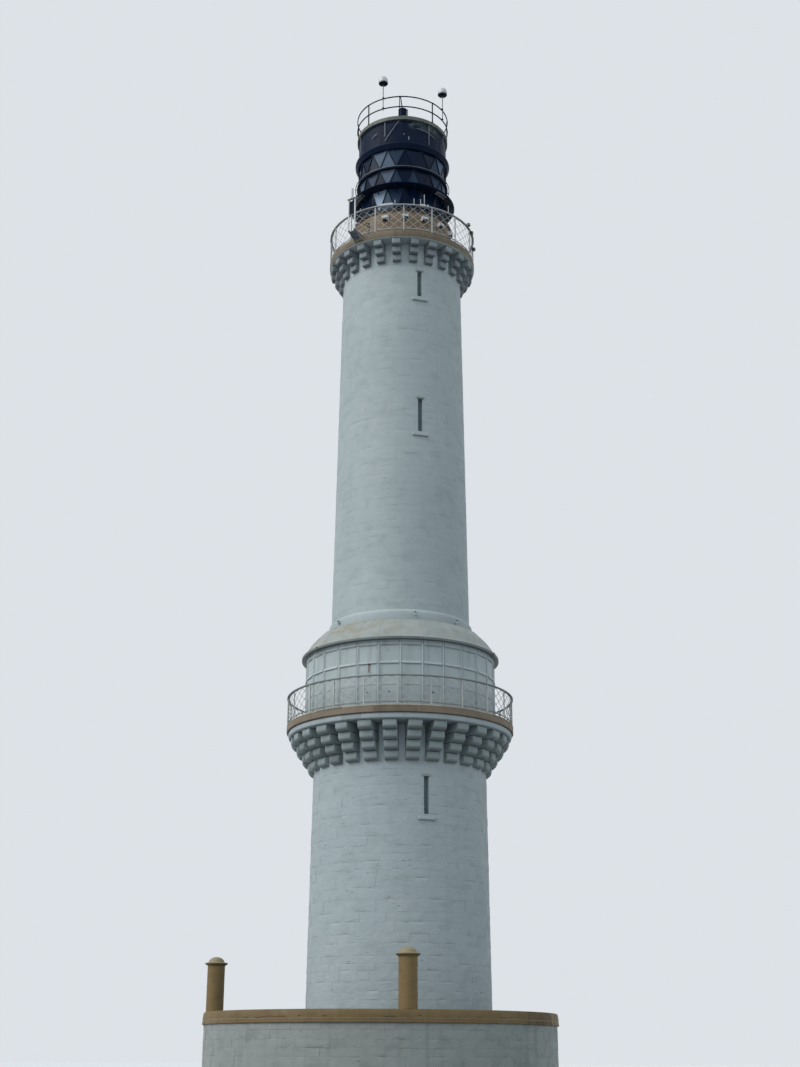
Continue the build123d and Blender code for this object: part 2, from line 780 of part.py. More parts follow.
def roof_rails():
    """Two rails round the gutter, and the two aerials clamped to them."""
    section = roof_rail_section
    outer = lantern_radius + roof_rail_reach + section / 2
    corners = roof_rail_corners_per_bay * roof_post_count
    rails = None
    for height in roof_rail_heights:
        top = gutter_top + height
        rail = polygon_ring(outer - section, outer, top - section, top, corners, roof_post_azimuth)
        rails = rail if rails is None else rails + rail
    post_outer = lantern_radius + gutter_reach
    for k in range(roof_post_count):
        azimuth = roof_post_azimuth + 360.0 * k / roof_post_count
        head = gutter_top + roof_rail_heights[1] - section
        post = block(section, post_outer - section, post_outer, gutter_top, head, azimuth)
        rails = rails + post
    save("roof_rails", rails)
    aerials = []
    for azimuth in aerial_azimuths:
        centre = outer + aerial_pole_radius + aerial_clamp_gap
        base = gutter_top + aerial_pole_foot
        dome_foot = gutter_top + aerial_top - aerial_dome_height
        pole = extrude(Circle(aerial_pole_radius), dome_foot - base)
        aerial = Pos(0, -centre, base) * pole
        for height in roof_rail_heights:
            top = gutter_top + height
            aerial = aerial + block(aerial_clamp_width, outer - section / 2, centre, top - section, top)
        wall = aerial_dome_height * aerial_wall_share
        dome = [(0, dome_foot), (aerial_dome_radius, dome_foot)]
        dome += dome_outline(aerial_dome_radius, dome_foot + wall, aerial_dome_height - wall)
        aerial = aerial + Pos(0, -centre, 0) * ring(dome)
        aerials.append(turned(aerial, azimuth) - rails)
    save("roof_aerials", aerials)


def instrument_frame():
    """A slim frame that stands outside the railing on a raking bracket."""
    deck = band(0, upper_deck_radius, upper_deck_bottom - cut_reach, upper_deck_top)
    radius = upper_deck_radius + instrument_reach
    far = radius + instrument_post
    root = upper_deck_radius - instrument_bracket_margin
    seat = upper_deck_top + instrument_seat_rise
    width = instrument_spacing + instrument_post
    points = [(root, upper_deck_top - instrument_bracket_margin), (far, seat)]
    points += [(far, seat - instrument_bracket_depth), (root, upper_deck_bottom + instrument_bracket_margin)]
    bracket = Pos(-width / 2, 0, 0) * extrude(outline(points), width, dir=(1, 0, 0))
    frame = bracket - deck
    top = seat + instrument_height
    inner = radius - instrument_post / 2
    outer = radius + instrument_post / 2
    for side in (-1, 1):
        post = block(instrument_post, inner, outer, seat - instrument_post_tail, top)
        frame = frame + Pos(side * instrument_spacing / 2, 0, 0) * post
    reach = instrument_cap_depth
    cap_top = top + instrument_cap_height
    cap = block(width + 2 * instrument_cap_reach, inner - reach, outer + reach, top, cap_top)
    tube = Pos(0, -radius, cap_top) * extrude(Circle(instrument_post), instrument_tube_height)
    half = instrument_panel_thickness / 2
    foot = seat + instrument_panel_foot
    head = top - instrument_panel_head
    panel = block(instrument_spacing - instrument_post, radius - half, radius + half, foot, head)
    frame = frame + cap + tube + panel
    save("instrument_frame", turned(frame, instrument_azimuth))


base_building()
base_door()
chimneys()
tower_walls()
slit_windows()
lower_gallery()
lower_stage()
upper_gallery()
murette()
lantern()
lantern_roof()
roof_rails()
instrument_frame()
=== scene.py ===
import math
import random

import bmesh
import bpy
from mathutils import Euler, Matrix, Vector, noise


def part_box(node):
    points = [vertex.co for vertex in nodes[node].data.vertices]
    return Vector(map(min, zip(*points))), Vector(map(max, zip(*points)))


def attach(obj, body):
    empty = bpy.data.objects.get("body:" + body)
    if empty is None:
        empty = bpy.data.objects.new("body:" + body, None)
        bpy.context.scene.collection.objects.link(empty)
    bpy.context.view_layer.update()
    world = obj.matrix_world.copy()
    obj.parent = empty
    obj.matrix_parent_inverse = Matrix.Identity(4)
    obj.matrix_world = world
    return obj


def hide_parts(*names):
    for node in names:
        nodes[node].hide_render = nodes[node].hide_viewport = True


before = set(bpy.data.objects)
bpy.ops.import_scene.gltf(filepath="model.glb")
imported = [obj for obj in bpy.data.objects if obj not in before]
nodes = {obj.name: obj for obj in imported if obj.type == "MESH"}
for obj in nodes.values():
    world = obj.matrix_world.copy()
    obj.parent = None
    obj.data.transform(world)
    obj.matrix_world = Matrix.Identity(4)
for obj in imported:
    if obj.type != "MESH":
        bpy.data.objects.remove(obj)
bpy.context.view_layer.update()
rng = random.Random(1833)
up = Vector((0, 0, 1))
paints = {}

# Levels, radii and angles of the tower, in metres and degrees


def low(name, axis=2):
    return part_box(name)[0][axis]


def high(name, axis=2):
    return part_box(name)[1][axis]


lower_head = high("lower_wall_front")
deck_low = low("lower_deck")
deck_high = high("lower_deck")
kerb_high = high("lower_kerb")
stage_high = high("stage_panels")
upper_low = low("upper_wall_front")
upper_head = high("upper_wall_front")
upper_deck_high = high("upper_deck")
murette_high = high("murette")
coping_low = low("base_coping")
coping_high = high("base_coping")
gutter_low = low("lantern_gutter")
gutter_high = high("lantern_gutter")

base_centre = -0.585
base_radius = 5.7
lower_rim = 3.915
cornice_rim = 3.85
lower_corbel_reach = 3.755
stage_radius = 3.285
upper_rim = 2.775
upper_corbel_reach = 2.72
murette_radius = 1.885
lantern_radius = 1.74
gutter_rim = 1.78
slit_azimuth = 16.8
lantern_azimuth = 3.3
division = 22.5
tier_levels = [(murette_high + a, murette_high + b) for a, b in ((0.10, 1.10), (1.18, 1.96), (2.04, 2.83))]
frieze_low = murette_high + 3.07


def lower_radius(z):
    return 3.067 - 0.135 * z / lower_head


def upper_radius(z):
    return 2.481 - 0.263 * (z - upper_low) / (upper_head - upper_low)


# Shading


class Wire:
    """One output of a node, with the usual sums written on it."""

    def __init__(self, tree, socket):
        self.tree = tree
        self.socket = socket

    def sum(self, operation, first, second):
        return self.tree.node("ShaderNodeMath", {"operation": operation}, {0: first, 1: second})

    def __add__(self, other):
        return self.sum("ADD", self, other)

    def __radd__(self, other):
        return self.sum("ADD", other, self)

    def __sub__(self, other):
        return self.sum("SUBTRACT", self, other)

    def __rsub__(self, other):
        return self.sum("SUBTRACT", other, self)

    def __mul__(self, other):
        return self.sum("MULTIPLY", self, other)

    def __rmul__(self, other):
        return self.sum("MULTIPLY", other, self)

    def __gt__(self, other):
        return self.sum("GREATER_THAN", self, other)

    def __lt__(self, other):
        return self.sum("LESS_THAN", self, other)

    def most(self, other):
        return self.sum("MAXIMUM", self, other)

    def least(self, other):
        return self.sum("MINIMUM", self, other)

    def other(self, out):
        return Wire(self.tree, self.socket.node.outputs[out])


class Tree:
    """A tree of nodes, with the one way to add a node to it."""

    def __init__(self, owner):
        owner.use_nodes = True
        self.tree = owner.node_tree

    def node(self, kind, settings=None, inputs=None, out=0):
        made = self.tree.nodes.new(kind)
        for key, value in (settings or {}).items():
            setattr(made, key, value)
        for key, value in (inputs or {}).items():
            if isinstance(value, Wire):
                self.tree.links.new(value.socket, made.inputs[key])
            else:
                made.inputs[key].default_value = value
        return Wire(self, made.outputs[out])

    def seen_straight(self):
        """1 for rays from the camera, a mirror or glass, 0 for the rays that only light things."""
        seen = self.node("ShaderNodeLightPath", out="Is Camera Ray")
        return seen.most(seen.other("Is Glossy Ray")).most(seen.other("Is Transmission Ray"))


class Paint(Tree):
    """One material: its shader and the ways to colour it."""

    def __init__(self, name, roughness, coat=0.0, specular=0.5):
        paints[name] = bpy.data.materials.new(name)
        super().__init__(paints[name])
        self.shader = self.tree.nodes["Principled BSDF"]
        self.shader.inputs["Roughness"].default_value = roughness
        self.shader.inputs["Coat Weight"].default_value = coat
        self.shader.inputs["Specular IOR Level"].default_value = specular
        self.place = self.node("ShaderNodeTexCoord", out="Object")
        self.east = self.node("ShaderNodeSeparateXYZ", {}, {0: self.place}, "X")
        self.north = self.east.other("Y")
        self.height = self.east.other("Z")

    def feed(self, name, wire):
        self.tree.links.new(wire.socket, self.shader.inputs[name])

    def done(self, body, roughness, relief, depth):
        """Feed the colour, the roughness and a relief of this depth to the shader."""
        self.feed("Base Color", body)
        self.feed("Roughness", roughness)
        bump = self.node("ShaderNodeBump", {}, {"Height": relief, "Distance": depth, "Strength": 1.0})
        self.feed("Normal", bump)

    def azimuth(self):
        """The angle round the tower's axis, in degrees, 0 at the front."""
        return self.east.sum("ARCTAN2", self.east, 0 - self.north) * (180 / math.pi)

    def stretched(self, across, along, shift=0.0):
        """The place, scaled across and along the height and moved to another part of a pattern."""
        scale = {0: self.place, 1: (across, across, along)}
        scaled = self.node("ShaderNodeVectorMath", {"operation": "MULTIPLY"}, scale)
        move = {0: scaled, 1: (shift, shift * 1.7, shift * 0.6)}
        return self.node("ShaderNodeVectorMath", {"operation": "ADD"}, move)

    def cloud(self, across, along=None, detail=3.0, shift=0.0):
        """Soft noise with this many patches a metre across and along the height."""
        spot = self.stretched(across, across if along is None else along, shift)
        values = {"Vector": spot, "Scale": 1.0, "Detail": detail, "Roughness": 0.55}
        return self.node("ShaderNodeTexNoise", {}, values)

    def cells(self, across, along):
        """The distance from the middles of scattered cells."""
        values = {"Vector": self.stretched(across, along), "Scale": 1.0}
        return self.node("ShaderNodeTexVoronoi", {"feature": "F1"}, values, "Distance")

    def fade(self, wire, low, high, start=0.0, end=1.0):
        """The wire's range from low to high, eased into start to end."""
        values = {0: wire, 1: low, 2: high, 3: start, 4: end}
        return self.node("ShaderNodeMapRange", {"interpolation_type": "SMOOTHSTEP"}, values)

    def blend(self, share, first, second, way="MIX"):
        settings = {"data_type": "RGBA", "blend_type": way, "clamp_result": False}
        values = {0: share, 6: self.colour(first), 7: self.colour(second)}
        return self.node("ShaderNodeMix", settings, values, 2)

    def layer(self, body, over, wire, low, high, share):
        """A colour laid over the body where the wire rises from low to high, up to a share."""
        return self.blend(self.fade(wire, low, high, 0.0, share), body, over)

    def colour(self, value):
        return value if isinstance(value, Wire) else (*value, 1.0)

    def below(self, low, high):
        """1 on faces that look down more than low, and 0 on those that look down less than high."""
        normal = self.node("ShaderNodeNewGeometry", out="Normal")
        return self.fade(self.node("ShaderNodeSeparateXYZ", {}, {0: normal}, "Z"), low, high, 1.0, 0.0)

    def tone(self):
        """The tone kept on each corner of a made piece, or a middle one where none is kept."""
        kept = self.node("ShaderNodeAttribute", {"attribute_name": "tone"}, {}, "Fac")
        made = kept > 0.5
        return made * (kept - 1) + (1 - made) * 0.5


def times(colour, factor, more=0.0):
    return tuple(v * factor + more for v in colour)


def painted_stone(name, base, light, dark, grain, pits, streaks, tones, under=None, foot_dirt=0.0,
                  painted_light_above=None):
    """Thick matt paint on stone, with patches, runs, dirty joints, pits and a tone for each stone; faces that
    look down take painted shade, and painted light where their colour is pale; walls high up between corbels
    take painted light.
    """
    paint = Paint(name, 0.66, specular=0.3)
    body = paint.layer(base, light, paint.cloud(0.30, 0.22, 4.0, 3.1), 0.40, 0.66, 0.45)
    body = paint.layer(body, dark, paint.cloud(1.5, 2.6, 4.0, 8.3), 0.48, 0.74, 0.45)
    body = paint.layer(body, dark, paint.cloud(4.5, 0.16, 4.0, 1.7), 0.5, 0.76, streaks)
    tone = paint.tone()
    lift = (tone.most(0.3) - 0.5) * tones + 0.5
    body = paint.blend(1.0, body, paint.blend(lift, (0.0, 0.0, 0.0), (2.0, 2.0, 2.0)), "MULTIPLY")
    shade = times(dark, 0.42)
    body = paint.blend(paint.fade(tone, 0.0, 0.26, 0.45, 0.0), body, shade)
    scatter = paint.fade(paint.cloud(2.3, 3.6, 2.0, 5.5), 0.585, 0.66)
    pit = paint.fade(paint.cells(3.4, 12.0), 0.05, 0.30, 1.0, 0.0) * scatter * pits
    body = paint.blend(pit * 0.55, body, shade)
    # Painted shade: faces that look down take the underside colour, darker than the paint; a pale one, as on
    # the upper deck, is painted light
    body = paint.blend(paint.below(-0.75, -0.2) * (0.9 if under else 0.35), body, under or times(dark, 0.6))
    # Painted light: from a little under the corbels upward the wall is painted lighter, as if lit between the
    # corbels
    if painted_light_above:
        kept = paint.fade(paint.height, painted_light_above - 0.1, painted_light_above + 0.35)
        body = paint.blend(kept * 0.75, body, times(base, 1.8))
    if foot_dirt:
        low_down = paint.fade(paint.height, 0.1, 0.9, 1.0, 0.0)
        splashed = low_down * paint.fade(paint.cloud(1.7, 1.0, 4.0, 4.2), 0.3, 0.7)
        body = paint.blend(splashed * foot_dirt, body, shade)
    roughness = paint.fade(paint.cloud(3.0, detail=2.0), 0.3, 0.7, 0.55, 0.76)
    relief = paint.cloud(6.0, 13.0, 5.0, 2.2) * 0.9 + paint.cloud(22.0, 34.0, 3.0, 0.4) * 0.3 - pit * 0.7
    paint.done(body, roughness, relief, grain)


def painted_iron(name, base, dark, rust, rusty, roughness, specular=0.4, coat=0.0):
    """Brushed paint on iron, with dirt, rust that breaks through in spots, and painted shade on faces that
    look down.
    """
    paint = Paint(name, roughness, coat, specular)
    body = paint.layer(base, dark, paint.cloud(2.6, 0.9, 4.0), 0.42, 0.72, 0.7)
    spots = paint.fade(paint.cloud(6.5, 4.0, 5.0, 6.1), 0.64 - rusty * 0.1, 0.76 - rusty * 0.1)
    worn = paint.fade(paint.tone(), 0.6, 1.0) * paint.fade(paint.cloud(24.0), 0.35, 0.6)
    spots = spots.most(worn) * rusty
    body = paint.blend(spots.least(1.0), body, rust)
    # Painted shade: faces that look down are darkened
    body = paint.blend(paint.below(-0.8, -0.3) * 0.5, body, times(dark, 0.6))
    varied = paint.fade(paint.cloud(14.0), 0.3, 0.7, roughness - 0.08, roughness + 0.12)
    paint.done(body, varied, paint.cloud(20.0, 9.0) + spots * 0.4, 0.0006)


def stage_sheet(name, base, light, dark, dirt, rust):
    """White paint on sheet metal with cream dirt, thin dark runs, a little rust and painted shade on faces
    that look down.
    """
    paint = Paint(name, 0.5, specular=0.35)
    body = paint.layer(base, light, paint.cloud(0.7, 0.5, 4.0, 2.6), 0.4, 0.66, 0.7)
    body = paint.layer(body, dark, paint.cloud(5.0, 0.35, 4.0, 1.1), 0.52, 0.78, 0.6)
    side = paint.fade(paint.east, -2.4, 0.4, 1.0, 0.25)
    patches = paint.fade(paint.cloud(2.0, 4.0, 5.0, 7.7), 0.44, 0.62) * side
    body = paint.blend(patches * dirt, body, (0.255, 0.235, 0.175))
    worn = paint.fade(paint.tone(), 0.6, 1.0) * paint.fade(paint.cloud(26.0), 0.4, 0.6)
    spots = paint.fade(paint.cloud(9.0, 3.0, 5.0, 6.1), 0.66, 0.76).most(worn)
    body = paint.blend(spots * rust, body, (0.13, 0.06, 0.03))
    # Painted shade: faces that look down are darkened
    body = paint.blend(paint.below(-0.8, -0.3) * 0.7, body, times(dark, 0.45))
    roughness = paint.fade(paint.cloud(14.0), 0.3, 0.7, 0.42, 0.62)
    paint.done(body, roughness, paint.cloud(3.0, 1.4) + spots * 0.1, 0.003)


def frieze_paint(name, base, dark, dust):
    """Black paint with pale dust and old marks under the gutter at the front right."""
    paint = Paint(name, 0.42, specular=0.07)
    body = paint.layer(base, dark, paint.cloud(2.6, 0.9, 4.0), 0.42, 0.72, 0.7)
    angle = paint.azimuth()
    right = paint.fade(angle, 4.0, 14.0) * paint.fade(angle, 44.0, 62.0, 1.0, 0.0)
    raised = paint.fade(paint.height, gutter_low - 0.42, gutter_low - 0.10)
    broken = paint.fade(paint.cloud(3.2, 5.0, 4.0, 3.3), 0.36, 0.60)
    body = paint.blend(right * raised * broken * 0.95, body, dust)
    left = paint.fade(angle, -22.0, -12.0) * paint.fade(angle, -4.0, 6.0, 1.0, 0.0)
    left = left * paint.fade(paint.height, gutter_low - 0.30, gutter_low - 0.05)
    body = paint.blend(left * broken * 0.5, body, (0.045, 0.045, 0.095))
    paint.done(body, paint.fade(paint.cloud(14.0), 0.3, 0.7, 0.36, 0.55), paint.cloud(20.0, 9.0), 0.0006)


def dark_glass(name, base, roughness):
    """Old lantern glass in front of a dark room, or blanked from behind."""
    paint = Paint(name, roughness, specular=0.08)
    body = paint.layer(base, times(base, 1.5, 0.002), paint.cloud(2.2, 1.0, 4.0), 0.4, 0.75, 0.4)
    body = paint.layer(body, times(base, 0.6), paint.cloud(9.0, 3.0, 3.0, 2.0), 0.52, 0.8, 0.35)
    varied = paint.fade(paint.cloud(11.0, 5.0), 0.3, 0.7, roughness, roughness + 0.14)
    paint.done(body, varied, paint.cloud(1.3, detail=1.0), 0.004)


def smooth_plastic(name, base, shade):
    """Smooth moulded plastic with a little grime."""
    paint = Paint(name, 0.3, coat=0.2)
    body = paint.layer(base, shade, paint.cloud(4.0, 1.6), 0.45, 0.75, 0.5)
    paint.done(body, paint.fade(paint.cloud(16.0), 0.3, 0.7, 0.24, 0.4), paint.cloud(60.0), 0.0003)


painted_stone("wall_white", (0.342, 0.398, 0.42), (0.402, 0.457, 0.468), (0.26, 0.31, 0.321),
              0.012, 1.0, 0.16, 0.05, painted_light_above=low("lower_corbels"))
# The round building's white is darker than the shaft's: dirt, and painted shade under the coping
painted_stone("base_white_dirt_and_shade", (0.245, 0.272, 0.262), (0.295, 0.322, 0.312), (0.155, 0.175, 0.168),
              0.010, 1.0, 0.4, 0.06, foot_dirt=0.6)
painted_stone("fine_white", (0.355, 0.411, 0.428), (0.412, 0.468, 0.478), (0.27, 0.319, 0.326),
              0.006, 0.6, 0.14, 0.03, painted_light_above=low("upper_corbels"))

# Other stone: base, light and dark colour, then grain, pits, streaks, tones and the colour of undersides,
# which is painted shade, and painted light where it is pale
for row in (
    # The corbels' whites are the wall white made darker: painted shade under the decks; the corbel white also
    # paints the slit lintels
    ("corbel_white", (0.252, 0.304, 0.31), (0.3, 0.352, 0.36), (0.17, 0.202, 0.205),
     0.004, 0.3, 0.4, 0.12, (0.16, 0.19, 0.19)),
    ("bracket_white", (0.202, 0.238, 0.256), (0.26, 0.3, 0.318), (0.14, 0.163, 0.172),
     0.004, 0.3, 0.4, 0.12, (0.12, 0.142, 0.15)),
    ("buff_stone", (0.172, 0.118, 0.05), (0.222, 0.158, 0.076), (0.102, 0.07, 0.034), 0.004, 0.5, 0.35, 0.06),
    ("coping_buff", (0.142, 0.098, 0.043), (0.182, 0.13, 0.066), (0.086, 0.06, 0.03), 0.004, 0.4, 0.3, 0.05),
    ("cap_buff", (0.255, 0.215, 0.135), (0.33, 0.29, 0.2), (0.16, 0.125, 0.07), 0.003, 0.3, 0.3, 0.05),
    ("rust_mark", (0.135, 0.05, 0.03), (0.165, 0.075, 0.045), (0.085, 0.036, 0.024), 0.003, 0.3, 0.5, 0.1),
    ("deck_buff", (0.19, 0.15, 0.112), (0.23, 0.19, 0.147), (0.115, 0.09, 0.068), 0.003, 0.5, 0.4, 0.03),
    # The upper deck's pale underside colour is painted light
    ("upper_buff", (0.148, 0.12, 0.08), (0.2, 0.165, 0.118), (0.08, 0.065, 0.047),
     0.003, 0.5, 0.6, 0.06, (0.44, 0.5, 0.5)),
    ("murette_buff", (0.185, 0.135, 0.083), (0.235, 0.18, 0.118), (0.095, 0.07, 0.046),
     0.003, 0.4, 0.5, 0.08),
    ("kerb_stone", (0.34, 0.315, 0.25), (0.42, 0.4, 0.33), (0.18, 0.155, 0.12), 0.003, 0.5, 0.4, 0.16),
    ("floor_stone", (0.16, 0.155, 0.14), (0.22, 0.215, 0.19), (0.09, 0.085, 0.075), 0.003, 0.8, 0.4, 0.2),
    ("roofing", (0.12, 0.125, 0.125), (0.17, 0.17, 0.165), (0.07, 0.073, 0.07), 0.004, 0.8, 0.2, 0.2),
    ("foot_rust", (0.16, 0.085, 0.035), (0.2, 0.12, 0.06), (0.06, 0.035, 0.02), 0.003, 0.5, 0.7, 0.1),
):
    painted_stone(*row)

# Iron: base, dark and rust colour, then how rusty, roughness, specular and coat
for row in (
    ("white_iron", (0.42, 0.44, 0.455), (0.27, 0.285, 0.3), (0.14, 0.075, 0.045), 0.25, 0.5),
    ("rail_iron", (0.43, 0.45, 0.44), (0.28, 0.295, 0.285), (0.12, 0.065, 0.035), 0.35, 0.5),
    # Posts and transoms are painted lighter than the panels: painted highlight
    ("post_white", (0.47, 0.53, 0.545), (0.36, 0.41, 0.42), (0.12, 0.065, 0.035), 0.15, 0.5),
    # The lower rails' white paint made dark grey: painted shade on their undersides seen from below
    ("rail_grey", (0.2, 0.22, 0.222), (0.12, 0.135, 0.135), (0.09, 0.06, 0.04), 0.3, 0.5),
    # The eave's white made dark grey: painted shade under the roof's edge
    ("eave_grey", (0.13, 0.162, 0.168), (0.085, 0.108, 0.108), (0.1, 0.06, 0.035), 0.3, 0.5),
    ("black_iron", (0.0028, 0.0105, 0.031), (0.008, 0.014, 0.031), (0.02, 0.016, 0.018), 0.3, 0.42, 0.06),
    # Dark brown for the lantern sill: painted shade under the lantern's ledge
    ("sill_brown", (0.05, 0.04, 0.036), (0.026, 0.023, 0.024), (0.05, 0.03, 0.02), 0.4, 0.5, 0.15),
    ("rail_blue", (0.085, 0.105, 0.135), (0.04, 0.052, 0.07), (0.06, 0.05, 0.045), 0.3, 0.45),
    ("vent_white", (0.64, 0.66, 0.68), (0.44, 0.46, 0.47), (0.12, 0.065, 0.04), 0.2, 0.5),
    ("slit_frame", (0.3, 0.37, 0.39), (0.2, 0.25, 0.26), (0.06, 0.045, 0.035), 0.3, 0.5, 0.15),
    ("gutter_iron", (0.115, 0.13, 0.108), (0.07, 0.08, 0.068), (0.08, 0.055, 0.035), 0.4, 0.5),
    ("bare_grey", (0.15, 0.175, 0.205), (0.08, 0.095, 0.115), (0.1, 0.06, 0.04), 0.3, 0.45),
    ("door_paint", (0.16, 0.115, 0.06), (0.1, 0.075, 0.042), (0.07, 0.045, 0.028), 0.4, 0.4, 0.4, 0.2),
):
    painted_iron(*row)

stage_sheet("stage_white", (0.365, 0.43, 0.45), (0.42, 0.48, 0.49), (0.24, 0.28, 0.28), 0.15, 0.35)
stage_sheet("roof_white", (0.275, 0.308, 0.302), (0.32, 0.35, 0.335), (0.18, 0.2, 0.19), 0.9, 0.4)
frieze_paint("frieze_black", (0.0028, 0.0105, 0.031), (0.008, 0.014, 0.031), (0.085, 0.112, 0.112))
dark_glass("glass_dark", (0.002, 0.009, 0.028), 0.16)
dark_glass("glass_grey", (0.024, 0.042, 0.078), 0.3)
dark_glass("glass_light", (0.082, 0.117, 0.17), 0.35)
dark_glass("glass_bright", (0.27, 0.35, 0.45), 0.35)
dark_glass("slit_glass", (0.17, 0.24, 0.262), 0.45)
smooth_plastic("dome_white", (0.52, 0.56, 0.6), (0.36, 0.385, 0.4))
smooth_plastic("hood_black", (0.01, 0.011, 0.013), (0.022, 0.022, 0.022))


# Making of the pieces


def polar(radius, azimuth, z=0.0, centre=0.0):
    """A point at a radius and azimuth round the axis, or round one moved along X."""
    a = math.radians(azimuth)
    return Vector((centre + radius * math.sin(a), -radius * math.cos(a), z))


def around(azimuth, radius, side, z, centre=0.0):
    """A point a distance sideways from an azimuth, on the flat that faces it."""
    a = math.radians(azimuth)
    return polar(radius, azimuth, z, centre) + Vector((math.cos(a), math.sin(a), 0)) * side


def course_of(radius, a0, z0, a1, z1, steps, wave=0.0, pace=0.0, centre=0.0):
    """Points round the tower from one azimuth and height to another, with a wave in the height."""
    shares = [i / steps for i in range(steps + 1)]
    rise = [wave * math.sin(pace * i) for i in range(steps + 1)]
    return [polar(radius, a0 + (a1 - a0) * s, z0 + (z1 - z0) * s + h, centre) for s, h in zip(shares, rise)]


class Work:
    """Corners, faces, tones and paints gathered for one piece."""

    def __init__(self):
        self.corners = []
        self.faces = []
        self.tones = []
        self.paints = []

    def add(self, corners, faces, tone=0.5, paint=0):
        start = len(self.corners)
        self.corners += corners
        self.faces += [tuple(start + i for i in face) for face in faces]
        self.tones += tone if isinstance(tone, list) else [tone] * len(corners)
        self.paints += [paint] * len(faces)

    def rings(self, rings, tone=0.5, paint=0):
        """Skin a row of rings that have the same count of corners, and close both ends."""
        count = len(rings[0])
        last = (len(rings) - 1) * count
        faces = []
        for k in range(0, last, count):
            for i in range(count):
                j = (i + 1) % count
                faces.append((k + i, k + j, k + count + j, k + count + i))
        faces.append(tuple(reversed(range(count))))
        faces.append(tuple(range(last, last + count)))
        self.add([p for ring in rings for p in ring], faces, tone, paint)

    def piece(self, name, slot, coats, *replaces, angle=35.0):
        """Make the piece, its coats named in the order of its paint numbers."""
        mesh = bpy.data.meshes.new(name)
        mesh.from_pydata(self.corners, [], self.faces)
        for coat in coats.split():
            mesh.materials.append(paints[coat])
        mesh.polygons.foreach_set("material_index", self.paints)
        tones = mesh.attributes.new("tone", "FLOAT", "POINT")
        tones.data.foreach_set("value", [1 + tone for tone in self.tones])
        made = bpy.data.objects.new(name, mesh)
        bpy.context.scene.collection.objects.link(made)
        turned_out(mesh)
        mesh.shade_smooth()
        mesh.set_sharp_from_angle(angle=math.radians(angle))
        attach(made, "root")
        if replaces:
            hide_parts(*replaces)


def turned_out(mesh):
    """Every closed part's faces turned to look outward."""
    shell = bmesh.new()
    shell.from_mesh(mesh)
    bmesh.ops.recalc_face_normals(shell, faces=shell.faces)
    shell.to_mesh(mesh)
    shell.free()


def drawn_in(value, inset, middle=0.0):
    """A value moved towards a middle by an inset, and not past it."""
    return value - math.copysign(min(inset, abs(value - middle)), value - middle)


def swept_stone(work, outline, start, end, centre=0.0, edge=0.012, steps=3, tone=0.5, paint=0):
    """A stone or plate of an outline of radii and heights, swept between two azimuths, with eased ends."""
    mid_r = sum(r for r, z in outline) / len(outline)
    mid_z = sum(z for r, z in outline) / len(outline)
    ease = math.degrees(edge / max(r for r, z in outline))
    small = [(drawn_in(r, edge, mid_r), drawn_in(z, edge, mid_z)) for r, z in outline]
    turns = [start + ease + (end - start - 2 * ease) * k / steps for k in range(steps)] + [end - ease]
    sections = [(start, small)] + [(turn, outline) for turn in turns] + [(end, small)]
    work.rings([[polar(r, turn, z, centre) for r, z in section] for turn, section in sections], tone, paint)


def eased(outline, edge):
    """The outline with each corner cut off by a short edge."""
    result = []
    count = len(outline)
    for i, (r, z) in enumerate(outline):
        for other in (outline[i - 1], outline[(i + 1) % count]):
            length = math.hypot(other[0] - r, other[1] - z)
            share = min(edge / length, 0.3)
            result.append((r + (other[0] - r) * share, z + (other[1] - z) * share))
    return result


def band(inner, outer, foot, head, edge):
    """The outline of a plain ring with eased corners."""
    return eased([(inner, foot), (outer, foot), (outer, head), (inner, head)], edge)


def spun(work, outline, steps, tone=0.5, paint=0, centre=Vector(), ring=True):
    """An outline of radii and heights turned round an upright axis, as a ring or as an open shell."""
    corners = []
    index = []
    for r, z in outline:
        on_axis = r < 1e-6
        index.append([len(corners) + (0 if on_axis else k) for k in range(steps)])
        corners += [centre + polar(r, 360 * k / steps, z) for k in range(1 if on_axis else steps)]
    faces = []
    for row, following in zip(index, index[1:] + (index[:1] if ring else [])):
        for k in range(steps):
            j = (k + 1) % steps
            face = tuple(dict.fromkeys((row[k], row[j], following[j], following[k])))
            if len(face) > 2:
                faces.append(face)
    work.add(corners, faces, tone, paint)


def box(work, middle, out, rise, width, height, depth, edge=0.006, tone=0.5, paint=0):
    """An eased block: width sideways, height along its rise and depth along out."""
    out = out.normalized()
    rise = rise.normalized()
    side = out.cross(rise).normalized()
    h = height / 2
    d = depth / 2
    section = ((-h + edge, -d), (h - edge, -d), (h, -d + edge), (h, d - edge),
               (h - edge, d), (-h + edge, d), (-h, d - edge), (-h, -d + edge))
    rings = []
    for w, inset in ((-width / 2, edge), (-width / 2 + edge, 0), (width / 2 - edge, 0), (width / 2, edge)):
        ring = [(drawn_in(u, inset), drawn_in(v, inset)) for u, v in section]
        rings.append([middle + side * w + rise * u + out * v for u, v in ring])
    work.rings(rings, tone, paint)


def block_at(work, radius, azimuth, z, width, height, depth, edge=0.006, tone=0.5, paint=0, side=0.0,
             centre=0.0):
    """An eased block that looks outward, its middle at a radius, azimuth and height."""
    middle = around(azimuth, radius, side, z, centre)
    box(work, middle, polar(1.0, azimuth), up, width, height, depth, edge, tone, paint)


def circle(point, axis, radius, sides, turn=0.0):
    """Corners of a circle round an axis."""
    first = axis.orthogonal().normalized()
    second = axis.cross(first)
    angles = [2 * math.pi * (k + turn) / sides for k in range(sides)]
    return [point + first * (radius * math.cos(a)) + second * (radius * math.sin(a)) for a in angles]


